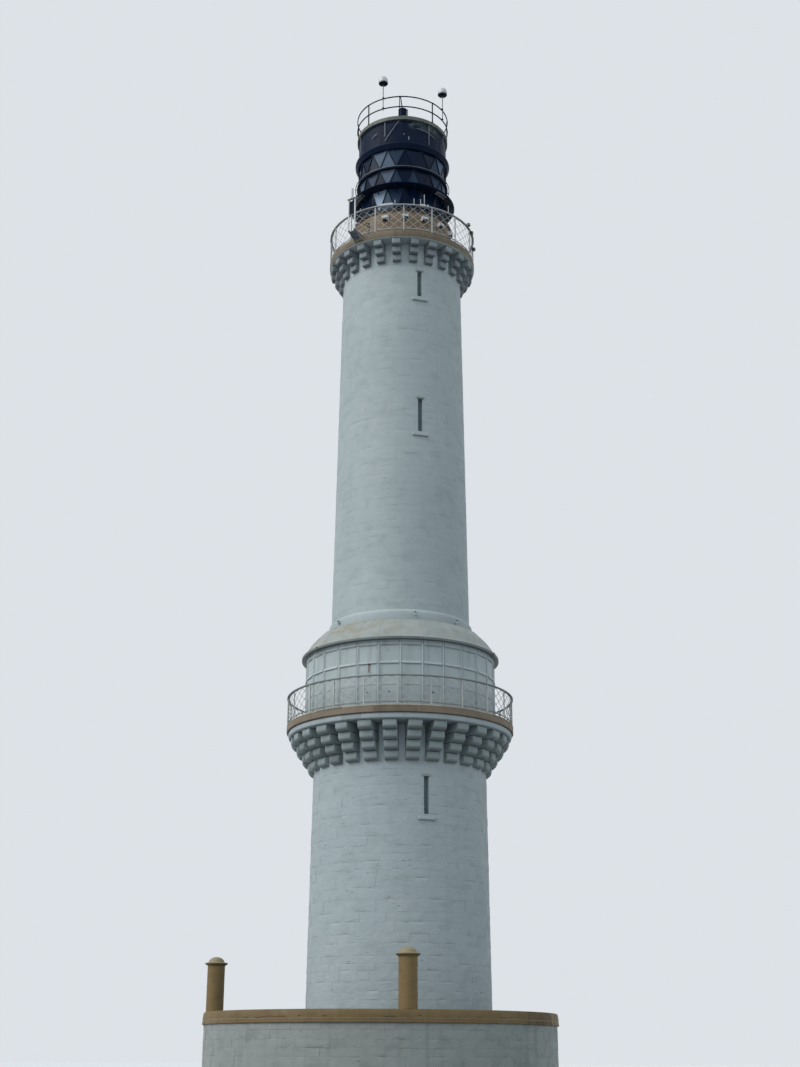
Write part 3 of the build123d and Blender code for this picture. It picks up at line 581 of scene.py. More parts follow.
def rod(work, start, end, radius, sides=8, tone=0.5, paint=0, tip=None):
    """A round rod between two points, with eased ends."""
    axis = (end - start).normalized()
    tip = tip or radius
    ease = min(radius * 0.3, (end - start).length * 0.2)
    stations = ((start, radius * 0.75), (start + axis * ease, radius), (end - axis * ease, tip),
                (end, tip * 0.75))
    work.rings([circle(point, axis, r, sides, 0.5) for point, r in stations], tone, paint)


def bolt(work, radius, azimuth, z, size, height, sides=6, tone=0.5, paint=0, side=0.0, centre=0.0):
    """A rivet or bolt head that looks outward, on a surface at a radius."""
    point = around(azimuth, radius, side, z, centre)
    out = polar(1.0, azimuth)
    stations = ((size, -height * 0.3), (size, height * 0.35), (size * 0.6, height))
    work.rings([circle(point + out * h, out, r, sides) for r, h in stations], tone, paint)


def strip(work, path, width, depth, tone=0.5, paint=0):
    """A flat bar along points round the tower, its flat side outward."""
    rings = []
    for i, point in enumerate(path):
        along = (path[min(i + 1, len(path) - 1)] - path[max(i - 1, 0)]).normalized()
        out = Vector((point.x, point.y, 0)).normalized()
        w = along.cross(out).normalized() * (width / 2)
        d = out * (depth / 2)
        rings.append([point - w - d, point + w - d, point + w + d, point - w + d])
    work.rings(rings, tone, paint)


def bar(work, start, end, width, depth, azimuth, tone=0.5, paint=0):
    """A straight flat bar whose flat side looks outward from the tower."""
    along = end - start
    side = along.cross(polar(1.0, azimuth)).normalized()
    out = side.cross(along)
    box(work, (start + end) / 2, out, along, width, along.length, depth, min(depth, width) * 0.2, tone, paint)


# Stonework


def split(total, target, spread):
    """A length cut into uneven parts near a target, as running sums from 0 to 1."""
    count = max(1, round(total / target))
    parts = [rng.uniform(1 - spread, 1 + spread) for _ in range(count)]
    whole = sum(parts)
    sums = [0.0]
    for part in parts:
        sums.append(sums[-1] + part / whole)
    return sums


def rubble(name, coat, radius_at, keys, gaps, course, length, face, edge, spacing, centre=0.0):
    """Squared stones in courses, each a slightly proud and uneven patch with eased edges.

    Keys are levels where a course starts. A gap is an azimuth, half a width, a foot and a head.
    Courses and lengths are in metres, and so are how far a face stands out and its corners' spacing.
    """
    work = Work()
    lines = []
    for foot, head in zip(keys, keys[1:]):
        lines += [(foot + (head - foot) * share) for share in split(head - foot, course, 0.28)[:-1]]
    lines.append(keys[-1])
    for z0, z1 in zip(lines, lines[1:]):
        radius = radius_at((z0 + z1) / 2)
        start = rng.uniform(0, 360)
        sweep = 360.0
        for azimuth, half_width, foot, head in gaps:
            if z0 < head - 0.02 and z1 > foot + 0.02:
                half = math.degrees(half_width / radius)
                start = azimuth + half
                sweep = 360.0 - 2 * half
        girth = math.radians(sweep) * radius
        marks = [start + sweep * share for share in split(girth, length * rng.uniform(0.85, 1.2), 0.42)]
        for a0, a1 in zip(marks, marks[1:]):
            stone(work, radius_at, z0, z1, a0, a1, face, edge, spacing, centre)
    work.piece(name, "white_masonry", coat, angle=60.0)


def stops(size, edge, spacing):
    """Shares of a stone's size where its corners stand, closer together near its edges."""
    near = min(edge / size, 0.3)
    marks = [0.0, near * 0.35, near]
    inner = max(1, round(size / spacing))
    middle = [near + (1 - 2 * near) * k / (inner + 1) for k in range(1, inner + 1)]
    return marks + middle + [1 - mark for mark in reversed(marks)]


def stone(work, radius_at, z0, z1, a0, a1, face, edge, spacing, centre):
    """One patch of the wall, flush at its joints and proud in its middle."""
    width = math.radians(a1 - a0) * radius_at((z0 + z1) / 2)
    height = z1 - z0
    proud = face * rng.uniform(0.45, 1.25)
    lean_a = rng.uniform(-0.3, 0.3) * face
    lean_z = rng.uniform(-0.35, 0.2) * face
    tone = min(0.8, max(0.32, rng.gauss(0.52, 0.12)))
    across = stops(width, edge, spacing)
    upward = stops(height, edge, spacing)
    corners = []
    tones = []
    for v in upward:
        for u in across:
            from_side = min(1.0, min(u, 1 - u) * width / edge)
            from_bed = min(1.0, min(v, 1 - v) * height / edge)
            z = z0 + height * v
            azimuth = a0 + (a1 - a0) * u
            spot = polar(radius_at(z), azimuth, z, centre)
            open_side = -0.25 + 1.8 * noise.noise(spot * 3.4 + Vector((7.0, 0.0, 3.0)))
            open_bed = -0.30 + 2.6 * noise.noise(Vector((spot.x * 2.7, spot.y * 2.7, spot.z * 4.4)))
            side_gap = (1 - from_side) * min(1.0, max(0.05, open_side))
            bed_gap = (1 - from_bed) * min(1.0, max(0.08, open_bed))
            gap = max(side_gap * 0.7, bed_gap)
            bulge = rng.uniform(-0.15, 0.15) * face + 0.7 * face * noise.noise(spot * 4.0)
            out = 0.004 + (1 - gap) * max(0.2 * face, proud + lean_a * (u - 0.5) + lean_z * (v - 0.5) + bulge)
            corners.append(polar(radius_at(z) + out, azimuth, z, centre))
            tones.append(tone * (1 - min(1.0, gap * 1.1) ** 1.5))
    count = len(across)
    faces = []
    for row in range(0, (len(upward) - 1) * count, count):
        for k in range(row, row + count - 1):
            faces.append((k, k + 1, k + count + 1, k + count))
    work.add(corners, faces, tones)


def slit_levels(index):
    """The foot and head of one of the three slit windows, from the ground up."""
    heights = sorted({round(v.co.z, 3) for v in nodes["slit_window_panes"].data.vertices})
    return heights[2 * index], heights[2 * index + 1]


slits = [slit_levels(k) for k in range(3)]


def masonry():
    """The stones of both shafts and of the round building."""
    half = 0.0835
    gaps = [(slit_azimuth, half, foot, head) for foot, head in slits]
    keys = [high("base_roof"), *slits[0], lower_head - 0.01]
    rubble("lower_shaft_stones", "wall_white", lower_radius, keys, gaps[:1],
           course=0.30, length=0.55, face=0.009, edge=0.034, spacing=0.15)
    keys = [high("shaft_collar") - 0.05, *slits[1], *slits[2], upper_head - 0.01]
    rubble("upper_shaft_stones", "fine_white", upper_radius, keys, gaps[1:],
           course=0.27, length=0.5, face=0.005, edge=0.024, spacing=0.19)
    door = high("base_door_frame")
    gaps = [(180.0, 0.503, 0.0, door)]
    rubble("round_building_stones", "base_white_dirt_and_shade", lambda z: base_radius, [0.0, door, coping_low], gaps,
           course=0.3, length=0.55, face=0.011, edge=0.034, spacing=0.19, centre=base_centre)


def corbel_table(name, node, coat, wall_at, top, outer, count, first, width, tiers, roundness):
    """Columns of stepped corbel stones with rounded noses, which replace the plain ones."""
    work = Work()
    bottom = low(node)
    rise = (top - bottom) / tiers
    wall = wall_at(bottom)
    step = (outer - wall) / tiers
    nose = min(step, rise) * roundness
    ease = 0.030 * roundness
    joint = 0.004
    for k in range(count):
        turned = Matrix.Rotation(math.radians(first + 360.0 * k / count), 3, "Z")
        for tier in range(tiers):
            z0 = bottom + rise * tier + (joint if tier else 0.0)
            z1 = bottom + rise * (tier + 1) - joint
            reach = wall + step * (tier + 1) + rng.uniform(-0.006, 0.006)
            back = wall_at(z1) - 0.06
            outline = [(back, z0)]
            for i in range(6):
                a = math.radians(90 * i / 5)
                outline.append((reach - nose + nose * math.sin(a), z0 + nose - nose * math.cos(a)))
            outline += [(reach, z1 - 0.02), (reach - 0.02, z1), (back, z1)]
            w = width / 2 + rng.uniform(-0.006, 0.004)
            half = [(w, ease), (w - ease * 0.35, ease * 0.35), (w - ease, 0.0)]
            rings = []
            for side, inset in [(-s, inset) for s, inset in half] + [(0.0, 0.0)] + half[::-1]:
                ring = []
                for r, z in outline:
                    pull = inset if r > back + 0.01 else 0.0
                    ring.append(turned @ Vector((side, pull - r, drawn_in(z, inset * 0.6, (z0 + z1) / 2))))
                rings.append(ring)
            work.rings(rings, min(1.0, max(0.0, rng.gauss(0.5, 0.2))))
    work.piece(name, "white_masonry", coat, node, angle=40.0)


def stone_ring(name, slot, coat, node, outline, count, first, joint, edge, steps=3, uneven=0.12, centre=0.0):
    """A ring of dressed stones with fine joints, which replaces a plain ring."""
    work = Work()
    gap = math.degrees(joint / max(r for r, z in outline))
    marks = [first + 360.0 * share for share in split(count, 1.0, uneven)]
    for a0, a1 in zip(marks, marks[1:]):
        tone = min(1.0, max(0.0, rng.gauss(0.5, 0.22)))
        swept_stone(work, outline, a0 + gap / 2, a1 - gap / 2, centre, edge, steps, tone)
    work.piece(name, slot, coat, node, angle=30.0)


def galleries():
    """Corbels, cornice, decks and kerb of both galleries."""
    corbel_table("lower_corbel_stones", "lower_corbels", "corbel_white", lower_radius, lower_head,
                 lower_corbel_reach, count=28, first=-5.2, width=0.46, tiers=4, roundness=0.72)
    corbel_table("upper_corbel_stones", "upper_corbels", "bracket_white", upper_radius, upper_head,
                 upper_corbel_reach, count=24, first=-4.7, width=0.305, tiers=3, roundness=0.42)
    bore = 2.1
    rim = cornice_rim
    z0 = lower_head
    z1 = deck_low
    outline = [(bore, z0), (rim - 0.045, z0), (rim - 0.012, z0 + 0.03), (rim, z0 + 0.075), (rim, z1 - 0.05),
               (rim - 0.01, z1 - 0.012), (rim - 0.03, z1), (bore, z1)]
    fine = 0.002
    stone_ring("lower_cornice_stones", "white_masonry", "fine_white", "lower_cornice", outline,
               count=34, first=2.0, joint=fine, edge=0.003)
    bore = 1.65
    rim = lower_rim
    outline = band(bore, rim, deck_low, deck_high, 0.014)
    stone_ring("lower_deck_stones", "buff_masonry", "deck_buff", "lower_deck", outline,
               count=18, first=8.0, joint=fine, edge=fine)
    inner = rim - 0.13
    outline = [(inner, deck_high), (rim, deck_high), (rim - 0.004, kerb_high), (inner, kerb_high)]
    stone_ring("lower_kerb_stones", "pale_kerb", "kerb_stone", "lower_kerb", eased(outline, 0.014),
               count=22, first=-13.02, joint=0.012, edge=0.01)
    rim = upper_rim
    z0 = upper_head
    z1 = upper_deck_high
    outline = [(bore, z0), (rim - 0.035, z0), (rim - 0.01, z0 + 0.02), (rim, z0 + 0.05), (rim, z1 - 0.05),
               (rim - 0.012, z1 - 0.014), (rim - 0.035, z1), (bore, z1)]
    stone_ring("upper_deck_stones", "buff_masonry", "upper_buff", "upper_deck", outline,
               count=14, first=5.0, joint=fine, edge=fine, steps=5)


def helical_railing(prefix, rim, bays, first, coat, bar_width):
    """Two layers of flat bars that wind round the gallery between its rails, riveted where they cross."""
    work = Work()
    foot = low(prefix + "_rails") + 0.026
    top = high(prefix + "_rails") - 0.034
    bars = 3
    turn = 360.0 / bays
    count = bays * bars
    bar_radius = rim - 0.046
    for layer, way in ((0, 1), (1, -1)):
        for k in range(count):
            middle = first + 360.0 * k / count
            start = middle - way * turn / 2
            path = course_of(bar_radius - 0.009 * layer, start, foot, start + way * turn, top, 8)
            strip(work, path, bar_width, 0.007, rng.uniform(0.2, 0.7))
    rows = 2 * bars + 1
    for row in range(rows):
        z = foot + (top - foot) * row / (rows - 1)
        shift = 0.0 if (row - bars) % 2 == 0 else 0.5
        for k in range(count):
            azimuth = first + 360.0 * (k + shift) / count
            bolt(work, bar_radius + 0.003, azimuth, z, 0.012, 0.008, 6, rng.uniform(0.3, 1.0))
    work.piece(prefix + "_lattice_bars", "white_metal", coat, prefix + "_lattice", angle=30.0)


# Round building


def coping():
    """Coping stones of the round building, with the marks on their front."""
    rim = base_radius + 0.07
    bore = base_radius - 0.6
    z0 = coping_low
    z1 = coping_high
    outline = [(bore, z0), (rim - 0.012, z0), (rim, z0 + 0.012), (rim, z0 + 0.052), (rim - 0.012, z0 + 0.062),
               (rim - 0.016, z0 + 0.2), (rim - 0.034, z1 - 0.045), (rim - 0.055, z1 - 0.01), (rim - 0.09, z1),
               (bore - 0.05, z1), (bore - 0.07, z1 - 0.02), (bore - 0.07, z0 + 0.06), (bore, z0 + 0.06)]
    stone_ring("coping_stones", "buff_masonry", "coping_buff", "base_coping", outline,
               count=22, first=3.0, joint=0.002, edge=0.002, steps=5, uneven=0.3, centre=base_centre)
    marks = Work()
    runs = ((-33.0, 9.0, 0.175, 0), (-44.0, 2.4, 0.16, 1), (-24.0, 0.8, 0.19, 1), (-16.0, 1.0, 0.18, 1),
            (31.0, 1.0, 0.17, 1), (-38.5, 3.0, 0.155, 1), (12.0, 0.6, 0.2, 1), (58.0, 13.0, 0.15, 0),
            (3.0, 4.0, 0.17, 1), (40.0, 2.2, 0.16, 1))
    for azimuth, length, rise, paint in runs:
        start = azimuth - length / 2
        z = z0 + rise
        path = course_of(rim - 0.0155, start, z, start + length, z, 10, 0.006, 1.7, base_centre)
        strip(marks, path, 0.022 if paint else 0.030, 0.004, 0.5, paint)
    z = z0 + 0.125
    path = course_of(rim - 0.0115, -80.0, z, 80.0, z, 90, 0.003, 1.0, base_centre)
    strip(marks, path, 0.014, 0.004, 0.5, 2)
    marks.piece("coping_marks", "buff_masonry", "rust_mark hood_black cap_buff")


def chimneys():
    """Round chimneys with flared rims and low domed caps."""
    drums = Work()
    caps = Work()
    foot = low("chimney_shafts")
    head = high("chimney_shafts")
    crown = high("chimney_caps")
    drum = 0.285
    dome = 0.262
    dome_foot = head + 0.12
    shaft = [(0.0, foot), (drum, foot), (drum, foot + 0.5), (drum - 0.001, foot + 1.0), (drum, head),
             (0.0, head)]
    rim = [(0.0, head), (drum, head), (0.30, head + 0.012), (0.365, head + 0.052), (0.372, head + 0.062),
           (0.372, head + 0.085)]
    cap = [rim[-1], (0.362, head + 0.095), (0.270, head + 0.112)]
    for share in [i / 8 for i in range(9)]:
        rise = (crown - dome_foot) * math.sin(math.pi / 2 * share)
        cap.append((dome * (1 - share ** 1.6), dome_foot + rise))
    for azimuth in (9.0, 269.0):
        centre = polar(5.435, azimuth, 0.0, base_centre)
        spun(drums, shaft, 40, centre=centre, ring=False)
        spun(caps, rim, 44, 0.5, 0, centre, False)
        spun(caps, cap, 44, 0.6, 1, centre, False)
    drums.piece("chimney_drums", "buff_masonry", "buff_stone", "chimney_shafts")
    caps.piece("chimney_caps_turned", "buff_masonry", "buff_stone cap_buff", "chimney_caps", angle=50.0)


def plank_door():
    """Planks, hinges and handle of the round building's door, at the back."""
    leaf = Work()
    back = 180.0
    head = high("base_door")
    face = math.sqrt(base_radius ** 2 - 0.25) - 0.12
    planks = 6
    width = 0.8194 / planks
    for k in range(planks):
        side = (k - (planks - 1) / 2) * width
        block_at(leaf, face - 0.08, back, head / 2 + 0.001, width - 0.003, head - 0.003, 0.056, 0.006,
                 rng.uniform(0.3, 0.6), 0, side, base_centre)
    for z in (0.45, 1.55):
        block_at(leaf, face - 0.046, back, z, 0.66, 0.07, 0.012, 0.003, 0.8, 1, -0.06, base_centre)
        for k in range(5):
            bolt(leaf, face - 0.04, back, z, 0.014, 0.01, 8, 0.8, 1, 0.14 * k - 0.34, base_centre)
    knob = [around(back, face + out, 0.33, 1.05, base_centre) for out in (-0.05, 0.01)]
    rod(leaf, *knob, 0.018, 12, 0.8, 1)
    leaf.piece("plank_door", "painted_timber", "door_paint black_iron", "base_door")


# Slit windows


def slit_windows():
    """Sills, lintels, frames and glazing bars of the three slits."""
    sills = Work()
    lintels = Work()
    bars = Work()
    width = 0.165
    frame_width = 0.022
    lights = 5
    for index, (foot, head) in enumerate(slits):
        radius_at = lower_radius if index == 0 else upper_radius
        z = foot - 0.135
        block_at(sills, radius_at(z) + 0.005, slit_azimuth, z, 0.585, 0.11, 0.13, 0.014, 0.6)
        z = head + 0.0425
        block_at(lintels, radius_at(z), slit_azimuth, z, 0.29, 0.085, 0.08, 0.008, 0.45)
        face = radius_at(foot) * math.cos(math.asin(width / 2 / radius_at(foot))) - 0.148
        for way in (-1, 1):
            block_at(bars, face, slit_azimuth, (foot + head) / 2, frame_width, head - foot - 0.004, 0.024,
                     0.003, 0.4, side=way * (width - frame_width) / 2)
        for k in range(lights + 1):
            z = foot + 0.012 + (head - foot - 0.024) * k / lights
            block_at(bars, face, slit_azimuth, z, width - 2 * frame_width, 0.02, 0.02, 0.003, 0.4)
    sills.piece("slit_sill_stones", "white_masonry", "fine_white", "slit_window_sills")
    lintels.piece("slit_lintel_stones", "white_masonry", "corbel_white", "slit_window_lintels")
    bars.piece("slit_glazing_bars", "white_metal", "slit_frame")


# Old lantern stage


stage_sides = 28
stage_turn = 360.0 / stage_sides
stage_flat = stage_radius * math.cos(math.radians(stage_turn / 2))


def stage_plates():
    """Fascia, beads, lap joint, rivets and posts of the old lantern stage's panels."""
    flat = stage_flat
    span = 2 * stage_radius * math.sin(math.radians(stage_turn / 2)) - 0.075
    lap = deck_high + 0.86
    lower_panel = (deck_high + 0.02, low("stage_transoms") - 0.004)
    upper_panel = (high("stage_transoms") + 0.004, stage_high - 0.172)
    tall = stage_high - deck_high
    plates = Work()
    posts = Work()
    for k in range(stage_sides):
        middle = stage_turn * (k + 0.5)
        block_at(plates, flat + 0.012, middle, stage_high - 0.075, span - 0.006, 0.15, 0.024, 0.004, 0.4)
        block_at(plates, flat + 0.016, middle, stage_high - 0.158, span - 0.006, 0.022, 0.032, 0.004, 0.5)
        for z0, z1 in (lower_panel, upper_panel):
            for way in (-1, 1):
                block_at(plates, flat + 0.006, middle, (z0 + z1) / 2, 0.024, z1 - z0, 0.012, 0.003,
                         rng.uniform(0.3, 0.6), side=way * (span / 2 - 0.016))
            tone = rng.uniform(0.3, 0.6)
            block_at(plates, flat + 0.006, middle, z1 - 0.014, span - 0.06, 0.022, 0.012, 0.003, tone)
        block_at(plates, flat + 0.005, middle, lap, span - 0.056, 0.05, 0.010, 0.003, rng.uniform(0.4, 0.7))
        for i in range(7):
            side = (i / 6 - 0.5) * (span - 0.12)
            bolt(plates, flat + 0.009, middle, lap, 0.009, 0.008, 6, rng.uniform(0.4, 0.95), side=side)
        block_at(plates, flat + 0.008, middle, deck_high + 0.03, span - 0.006, 0.06, 0.016, 0.004, 0.6)
        azimuth = stage_turn * k
        tone = rng.uniform(0.4, 0.7)
        z = deck_high + tall / 2
        block_at(posts, stage_radius - 0.016, azimuth, z, 0.05, tall - 0.002, 0.068, 0.01, tone)
        for i in range(12):
            z = deck_high + 0.12 + (tall - 0.2) * i / 11
            bolt(posts, stage_radius + 0.018, azimuth, z, 0.010, 0.009, 6, rng.uniform(0.3, 0.95))
    plates.piece("stage_plate_trim", "white_metal", "stage_white")
    posts.piece("stage_corner_posts", "white_metal", "post_white", "stage_mullions")


def stage_holes():
    """Round vent holes in the panels, and a pipe end with its rust run."""
    marks = Work()
    for azimuth in (-19.3, -6.4, 19.3, 83.6, 147.9, 199.3, 251.0):
        bolt(marks, stage_flat, azimuth, deck_high + 0.61, 0.042, 0.006, 16)
        bolt(marks, stage_flat + 0.0045, azimuth, deck_high + 0.61, 0.031, 0.003, 16, 0.5, 1)
    pipe = -18.4
    z = low("stage_transoms") - 0.02
    bolt(marks, stage_flat + 0.02, pipe, z + 0.01, 0.03, 0.03, 8, 0.5, 1)
    strip(marks, course_of(stage_flat + 0.034, pipe, z, pipe, z - 0.28, 4), 0.026, 0.004, 0.5, 2)
    marks.piece("stage_vent_holes", "white_metal", "stage_white hood_black rust_mark")


def stage_roof():
    """Seams, eave and brackets of the stage's roof, and the collar above it with its lugs."""
    seams = Work()
    eave = low("stage_roof")
    rim = 3.449
    slope = ((rim - 0.006, 0.085), (3.358, 0.155), (3.083, 0.545), (2.793, 0.837), (2.503, 0.899))
    for k in range(stage_sides):
        azimuth = stage_turn * k
        for (r0, z0), (r1, z1) in zip(slope, slope[1:]):
            foot = polar(r0 - 0.004, azimuth, eave + z0)
            bar(seams, foot, polar(r1 + 0.004, azimuth, eave + z1), 0.05, 0.009, azimuth)
    lip = ((rim - 0.029, 0.002), (rim - 0.003, 0.002), (rim, 0.006), (rim, 0.066), (rim - 0.006, 0.072),
           (rim - 0.029, 0.072))
    # The eave's lip and the brackets under it take the dark eave paint: painted shade
    spun(seams, [(r, eave + z) for r, z in lip], 140, paint=1)
    for azimuth in (-55.7, 68.9, 125.0, 180.0, 235.0):
        block_at(seams, rim + 0.003, azimuth, eave + 0.03, 0.11, 0.12, 0.05, 0.015, 0.8, 1)
    seams.piece("stage_roof_seams", "white_metal", "roof_white eave_grey")
    collar = Work()
    z0 = low("shaft_collar")
    z1 = high("shaft_collar")
    wall = upper_radius(z0)
    top = upper_radius(z1)
    outline = [(wall - 0.1, z0), (wall + 0.084, z0), (wall + 0.089, z0 + 0.02), (wall + 0.088, z1 - 0.12),
               (wall + 0.080, z1 - 0.095), (wall + 0.062, z1 - 0.07), (top + 0.035, z1 - 0.03),
               (top + 0.012, z1 - 0.004), (wall - 0.1, z1)]
    spun(collar, outline, 150)
    collar.piece("collar_moulding", "white_masonry", "fine_white", "shaft_collar", angle=50.0)
    lugs = Work()
    reach = wall + 0.13
    rises = {-56.0: 0.186, 10.9: 0.206, 48.5: 0.146, 102.0: 0.186, 158.0: 0.186, 215.0: 0.186, 263.0: 0.186}
    for azimuth, rise in rises.items():
        z = z0 + rise
        block_at(lugs, reach, azimuth, z, 0.055, 0.10, 0.10, 0.008, 0.7)
        stem = [polar(reach + 0.03, azimuth, z + step) for step in (-0.09, 0.07)]
        rod(lugs, *stem, 0.014, 8, 0.9)
        # A black bar across the top of each lug: painted shadow
        painted_shadow_bar = [around(azimuth, reach + 0.04, side, z + 0.05) for side in (-0.05, 0.05)]
        rod(lugs, *painted_shadow_bar, 0.018, 8, 0.9, 1)
    lugs.piece("collar_lugs", "white_metal", "white_iron hood_black")


# Murette, the wall under the lantern


murette_door_azimuth = -53.0


def murette_door():
    """The low plate door with its hinges and handle, and four small dark blocks beside it."""
    door = Work()
    azimuth = murette_door_azimuth
    face = murette_radius * math.cos(math.asin(0.31 / murette_radius))
    foot = low("murette_door")
    head = high("murette_door")
    block_at(door, face - 0.027, azimuth, (foot + head) / 2, 0.612, head - foot, 0.046)
    for z in (foot + 0.2, foot + 0.56, head - 0.18):
        block_at(door, face + 0.003, azimuth, z, 0.5, 0.05, 0.014, 0.003, 0.8)
        spot = around(azimuth, face + 0.012, 0.305, z - 0.06)
        rod(door, spot, spot + up * 0.12, 0.014, 8, 0.8, 1)
        for k in range(4):
            bolt(door, face + 0.009, azimuth, z, 0.01, 0.008, 6, 0.9, side=0.12 * k - 0.18)
    knob = [around(azimuth, face + out, -0.23, foot + 0.62) for out in (0.0, 0.05)]
    rod(door, *knob, 0.012, 8, 0.8, 1)
    # Four small dark blocks on the murette beside the door
    for below in (0.28, 0.42, 0.58, 0.72):
        block_at(door, murette_radius + 0.012, -41.5, murette_high - below, 0.045, 0.09, 0.03, 0.004, 0.5, 1)
    door.piece("murette_plate_door", "buff_metal", "murette_buff black_iron", "murette_door")


def murette_vents():
    """Hooded vents round the murette, and the rusty joint at its foot."""
    vents = Work()
    radius = murette_radius
    level = (low("murette_vents") + high("murette_vents")) / 2
    slope = 0.22
    for k in range(16):
        azimuth = 3.4 + division * k
        if abs((azimuth - murette_door_azimuth + 180.0) % 360.0 - 180.0) < 15.0:
            continue
        tone = rng.uniform(0.3, 0.8)
        for way in (-1, 1):
            block_at(vents, radius + 0.064, azimuth, level, 0.012, 0.18, 0.14, 0.003, tone, side=way * 0.112)
        hood = polar(radius + 0.072, azimuth, level + 0.075)
        out = polar(1.0, azimuth)
        box(vents, hood, out + up * slope, up - out * slope, 0.24, 0.014, 0.155, 0.004, tone)
        block_at(vents, radius + 0.135, azimuth, level + 0.022, 0.24, 0.10, 0.014, 0.004, tone)
        block_at(vents, radius + 0.055, azimuth, level - 0.03, 0.205, 0.09, 0.12, 0.01, 0.5, 1)
    vents.piece("murette_vent_hoods", "white_metal", "vent_white hood_black", "murette_vents")
    joint = Work()
    z = upper_deck_high
    outline = [(radius - 0.01, z), (radius + 0.022, z), (radius + 0.02, z + 0.03), (radius + 0.008, z + 0.06),
               (radius - 0.01, z + 0.06)]
    spun(joint, outline, 120, tone=0.2)
    joint.piece("murette_foot_joint", "buff_masonry", "foot_rust")


# Lantern


def lantern_glazing():
    """Triangular panes in three tiers, the bars between them and the bolts where bars meet."""
    panes = Work()
    bars = Work()
    half = division / 2
    grey = {(1, 0, 2), (1, 1, -3), (2, 1, -1), (1, 0, 0), (1, 0, -1), (0, 1, -1), (2, 0, 2), (1, 1, 1)}
    light = {(2, 1, -2), (2, 0, -1), (1, 1, -2), (0, 0, -1), (2, 1, 2), (1, 1, 2), (1, 1, -4), (0, 1, 3),
             (1, 0, 6), (2, 1, 7)}
    bright = {(0, 1, -2), (0, 1, 6)}
    for tier, (z0, z1) in enumerate(tier_levels):
        phase = lantern_azimuth + half * (tier % 2)
        for k in range(-8, 8):
            azimuth = phase + division * k
            upright = [(azimuth - half, z0), (azimuth + half, z0), (azimuth, z1)]
            hanging = [(azimuth, z1), (azimuth + half, z0), (azimuth + division, z1)]
            for kind, corners in enumerate((upright, hanging)):
                key = (tier, kind, k)
                pane(panes, corners, (key in grey) + 2 * (key in light) + 3 * (key in bright))
            for way in (-1, 1):
                foot = polar(lantern_radius - 0.010, azimuth + way * half, z0)
                head = polar(lantern_radius - 0.010, azimuth, z1)
                middle = azimuth + way * half / 2
                bar(bars, foot, head, 0.036, 0.014, middle, rng.uniform(0.3, 0.6))
                inward = polar(-0.03, middle)
                bar(bars, foot + inward, head + inward, 0.016, 0.044, middle, 0.4)
            for a, z in ((azimuth, z1 - 0.03), (azimuth + half, z0 + 0.03)):
                bolt(bars, lantern_radius - 0.006, a, z, 0.030, 0.012, 10, rng.uniform(0.3, 0.8))
                bolt(bars, lantern_radius + 0.002, a, z, 0.013, 0.012, 6, rng.uniform(0.4, 0.9))
    glass = "glass_dark glass_grey glass_light glass_bright"
    panes.piece("lantern_glass", "clear_glass", glass, "lantern_panes")
    bars.piece("lantern_lattice_bars", "black_metal", "black_iron", "lantern_astragals")


def pane(work, corners, paint):
    """One flat triangular pane with a narrow edge."""
    points = [polar(lantern_radius - 0.03, a, z) for a, z in corners]
    middle = sum(points, Vector()) / 3
    out = (points[1] - points[0]).cross(points[2] - points[0]).normalized()
    if out.dot(Vector((middle.x, middle.y, 0))) < 0:
        out = -out
        points.reverse()
    sections = ((-0.010, 0.995), (-0.002, 0.995), (0.0, 0.985))
    rings = [[middle + (p - middle) * share + out * depth for p in points] for depth, share in sections]
    work.rings(rings, rng.uniform(0.3, 0.7), paint)


def lantern_bands():
    """The ring bands over the three tiers, the lowest a ledge on struts."""
    bands = Work()
    bore = 1.62
    face = lantern_radius + 0.025
    z = tier_levels[0][1]
    ledge = [(bore, z), (face, z), (2.03, z + 0.05), (2.04, z + 0.056), (2.04, z + 0.074), (2.034, z + 0.08),
             (bore, z + 0.08)]
    spun(bands, ledge, 128)
    for k in range(16):
        azimuth = lantern_azimuth + division * (k + 0.5)
        bar(bands, polar(face - 0.02, azimuth, z - 0.20), polar(1.99, azimuth, z + 0.03), 0.03, 0.03, azimuth)
    z = tier_levels[2][1]
    flared = [(bore, z), (face, z), (1.842, z + 0.155), (1.85, z + 0.17), (1.85, z + 0.225), (1.84, z + 0.24),
              (bore, z + 0.24)]
    spun(bands, flared, 128)
    z = tier_levels[1][1]
    spun(bands, band(bore, lantern_radius + 0.045, z, z + 0.08, 0.01), 128)
    bands.piece("lantern_ring_bands", "black_metal", "black_iron", "lantern_bands", angle=40.0)


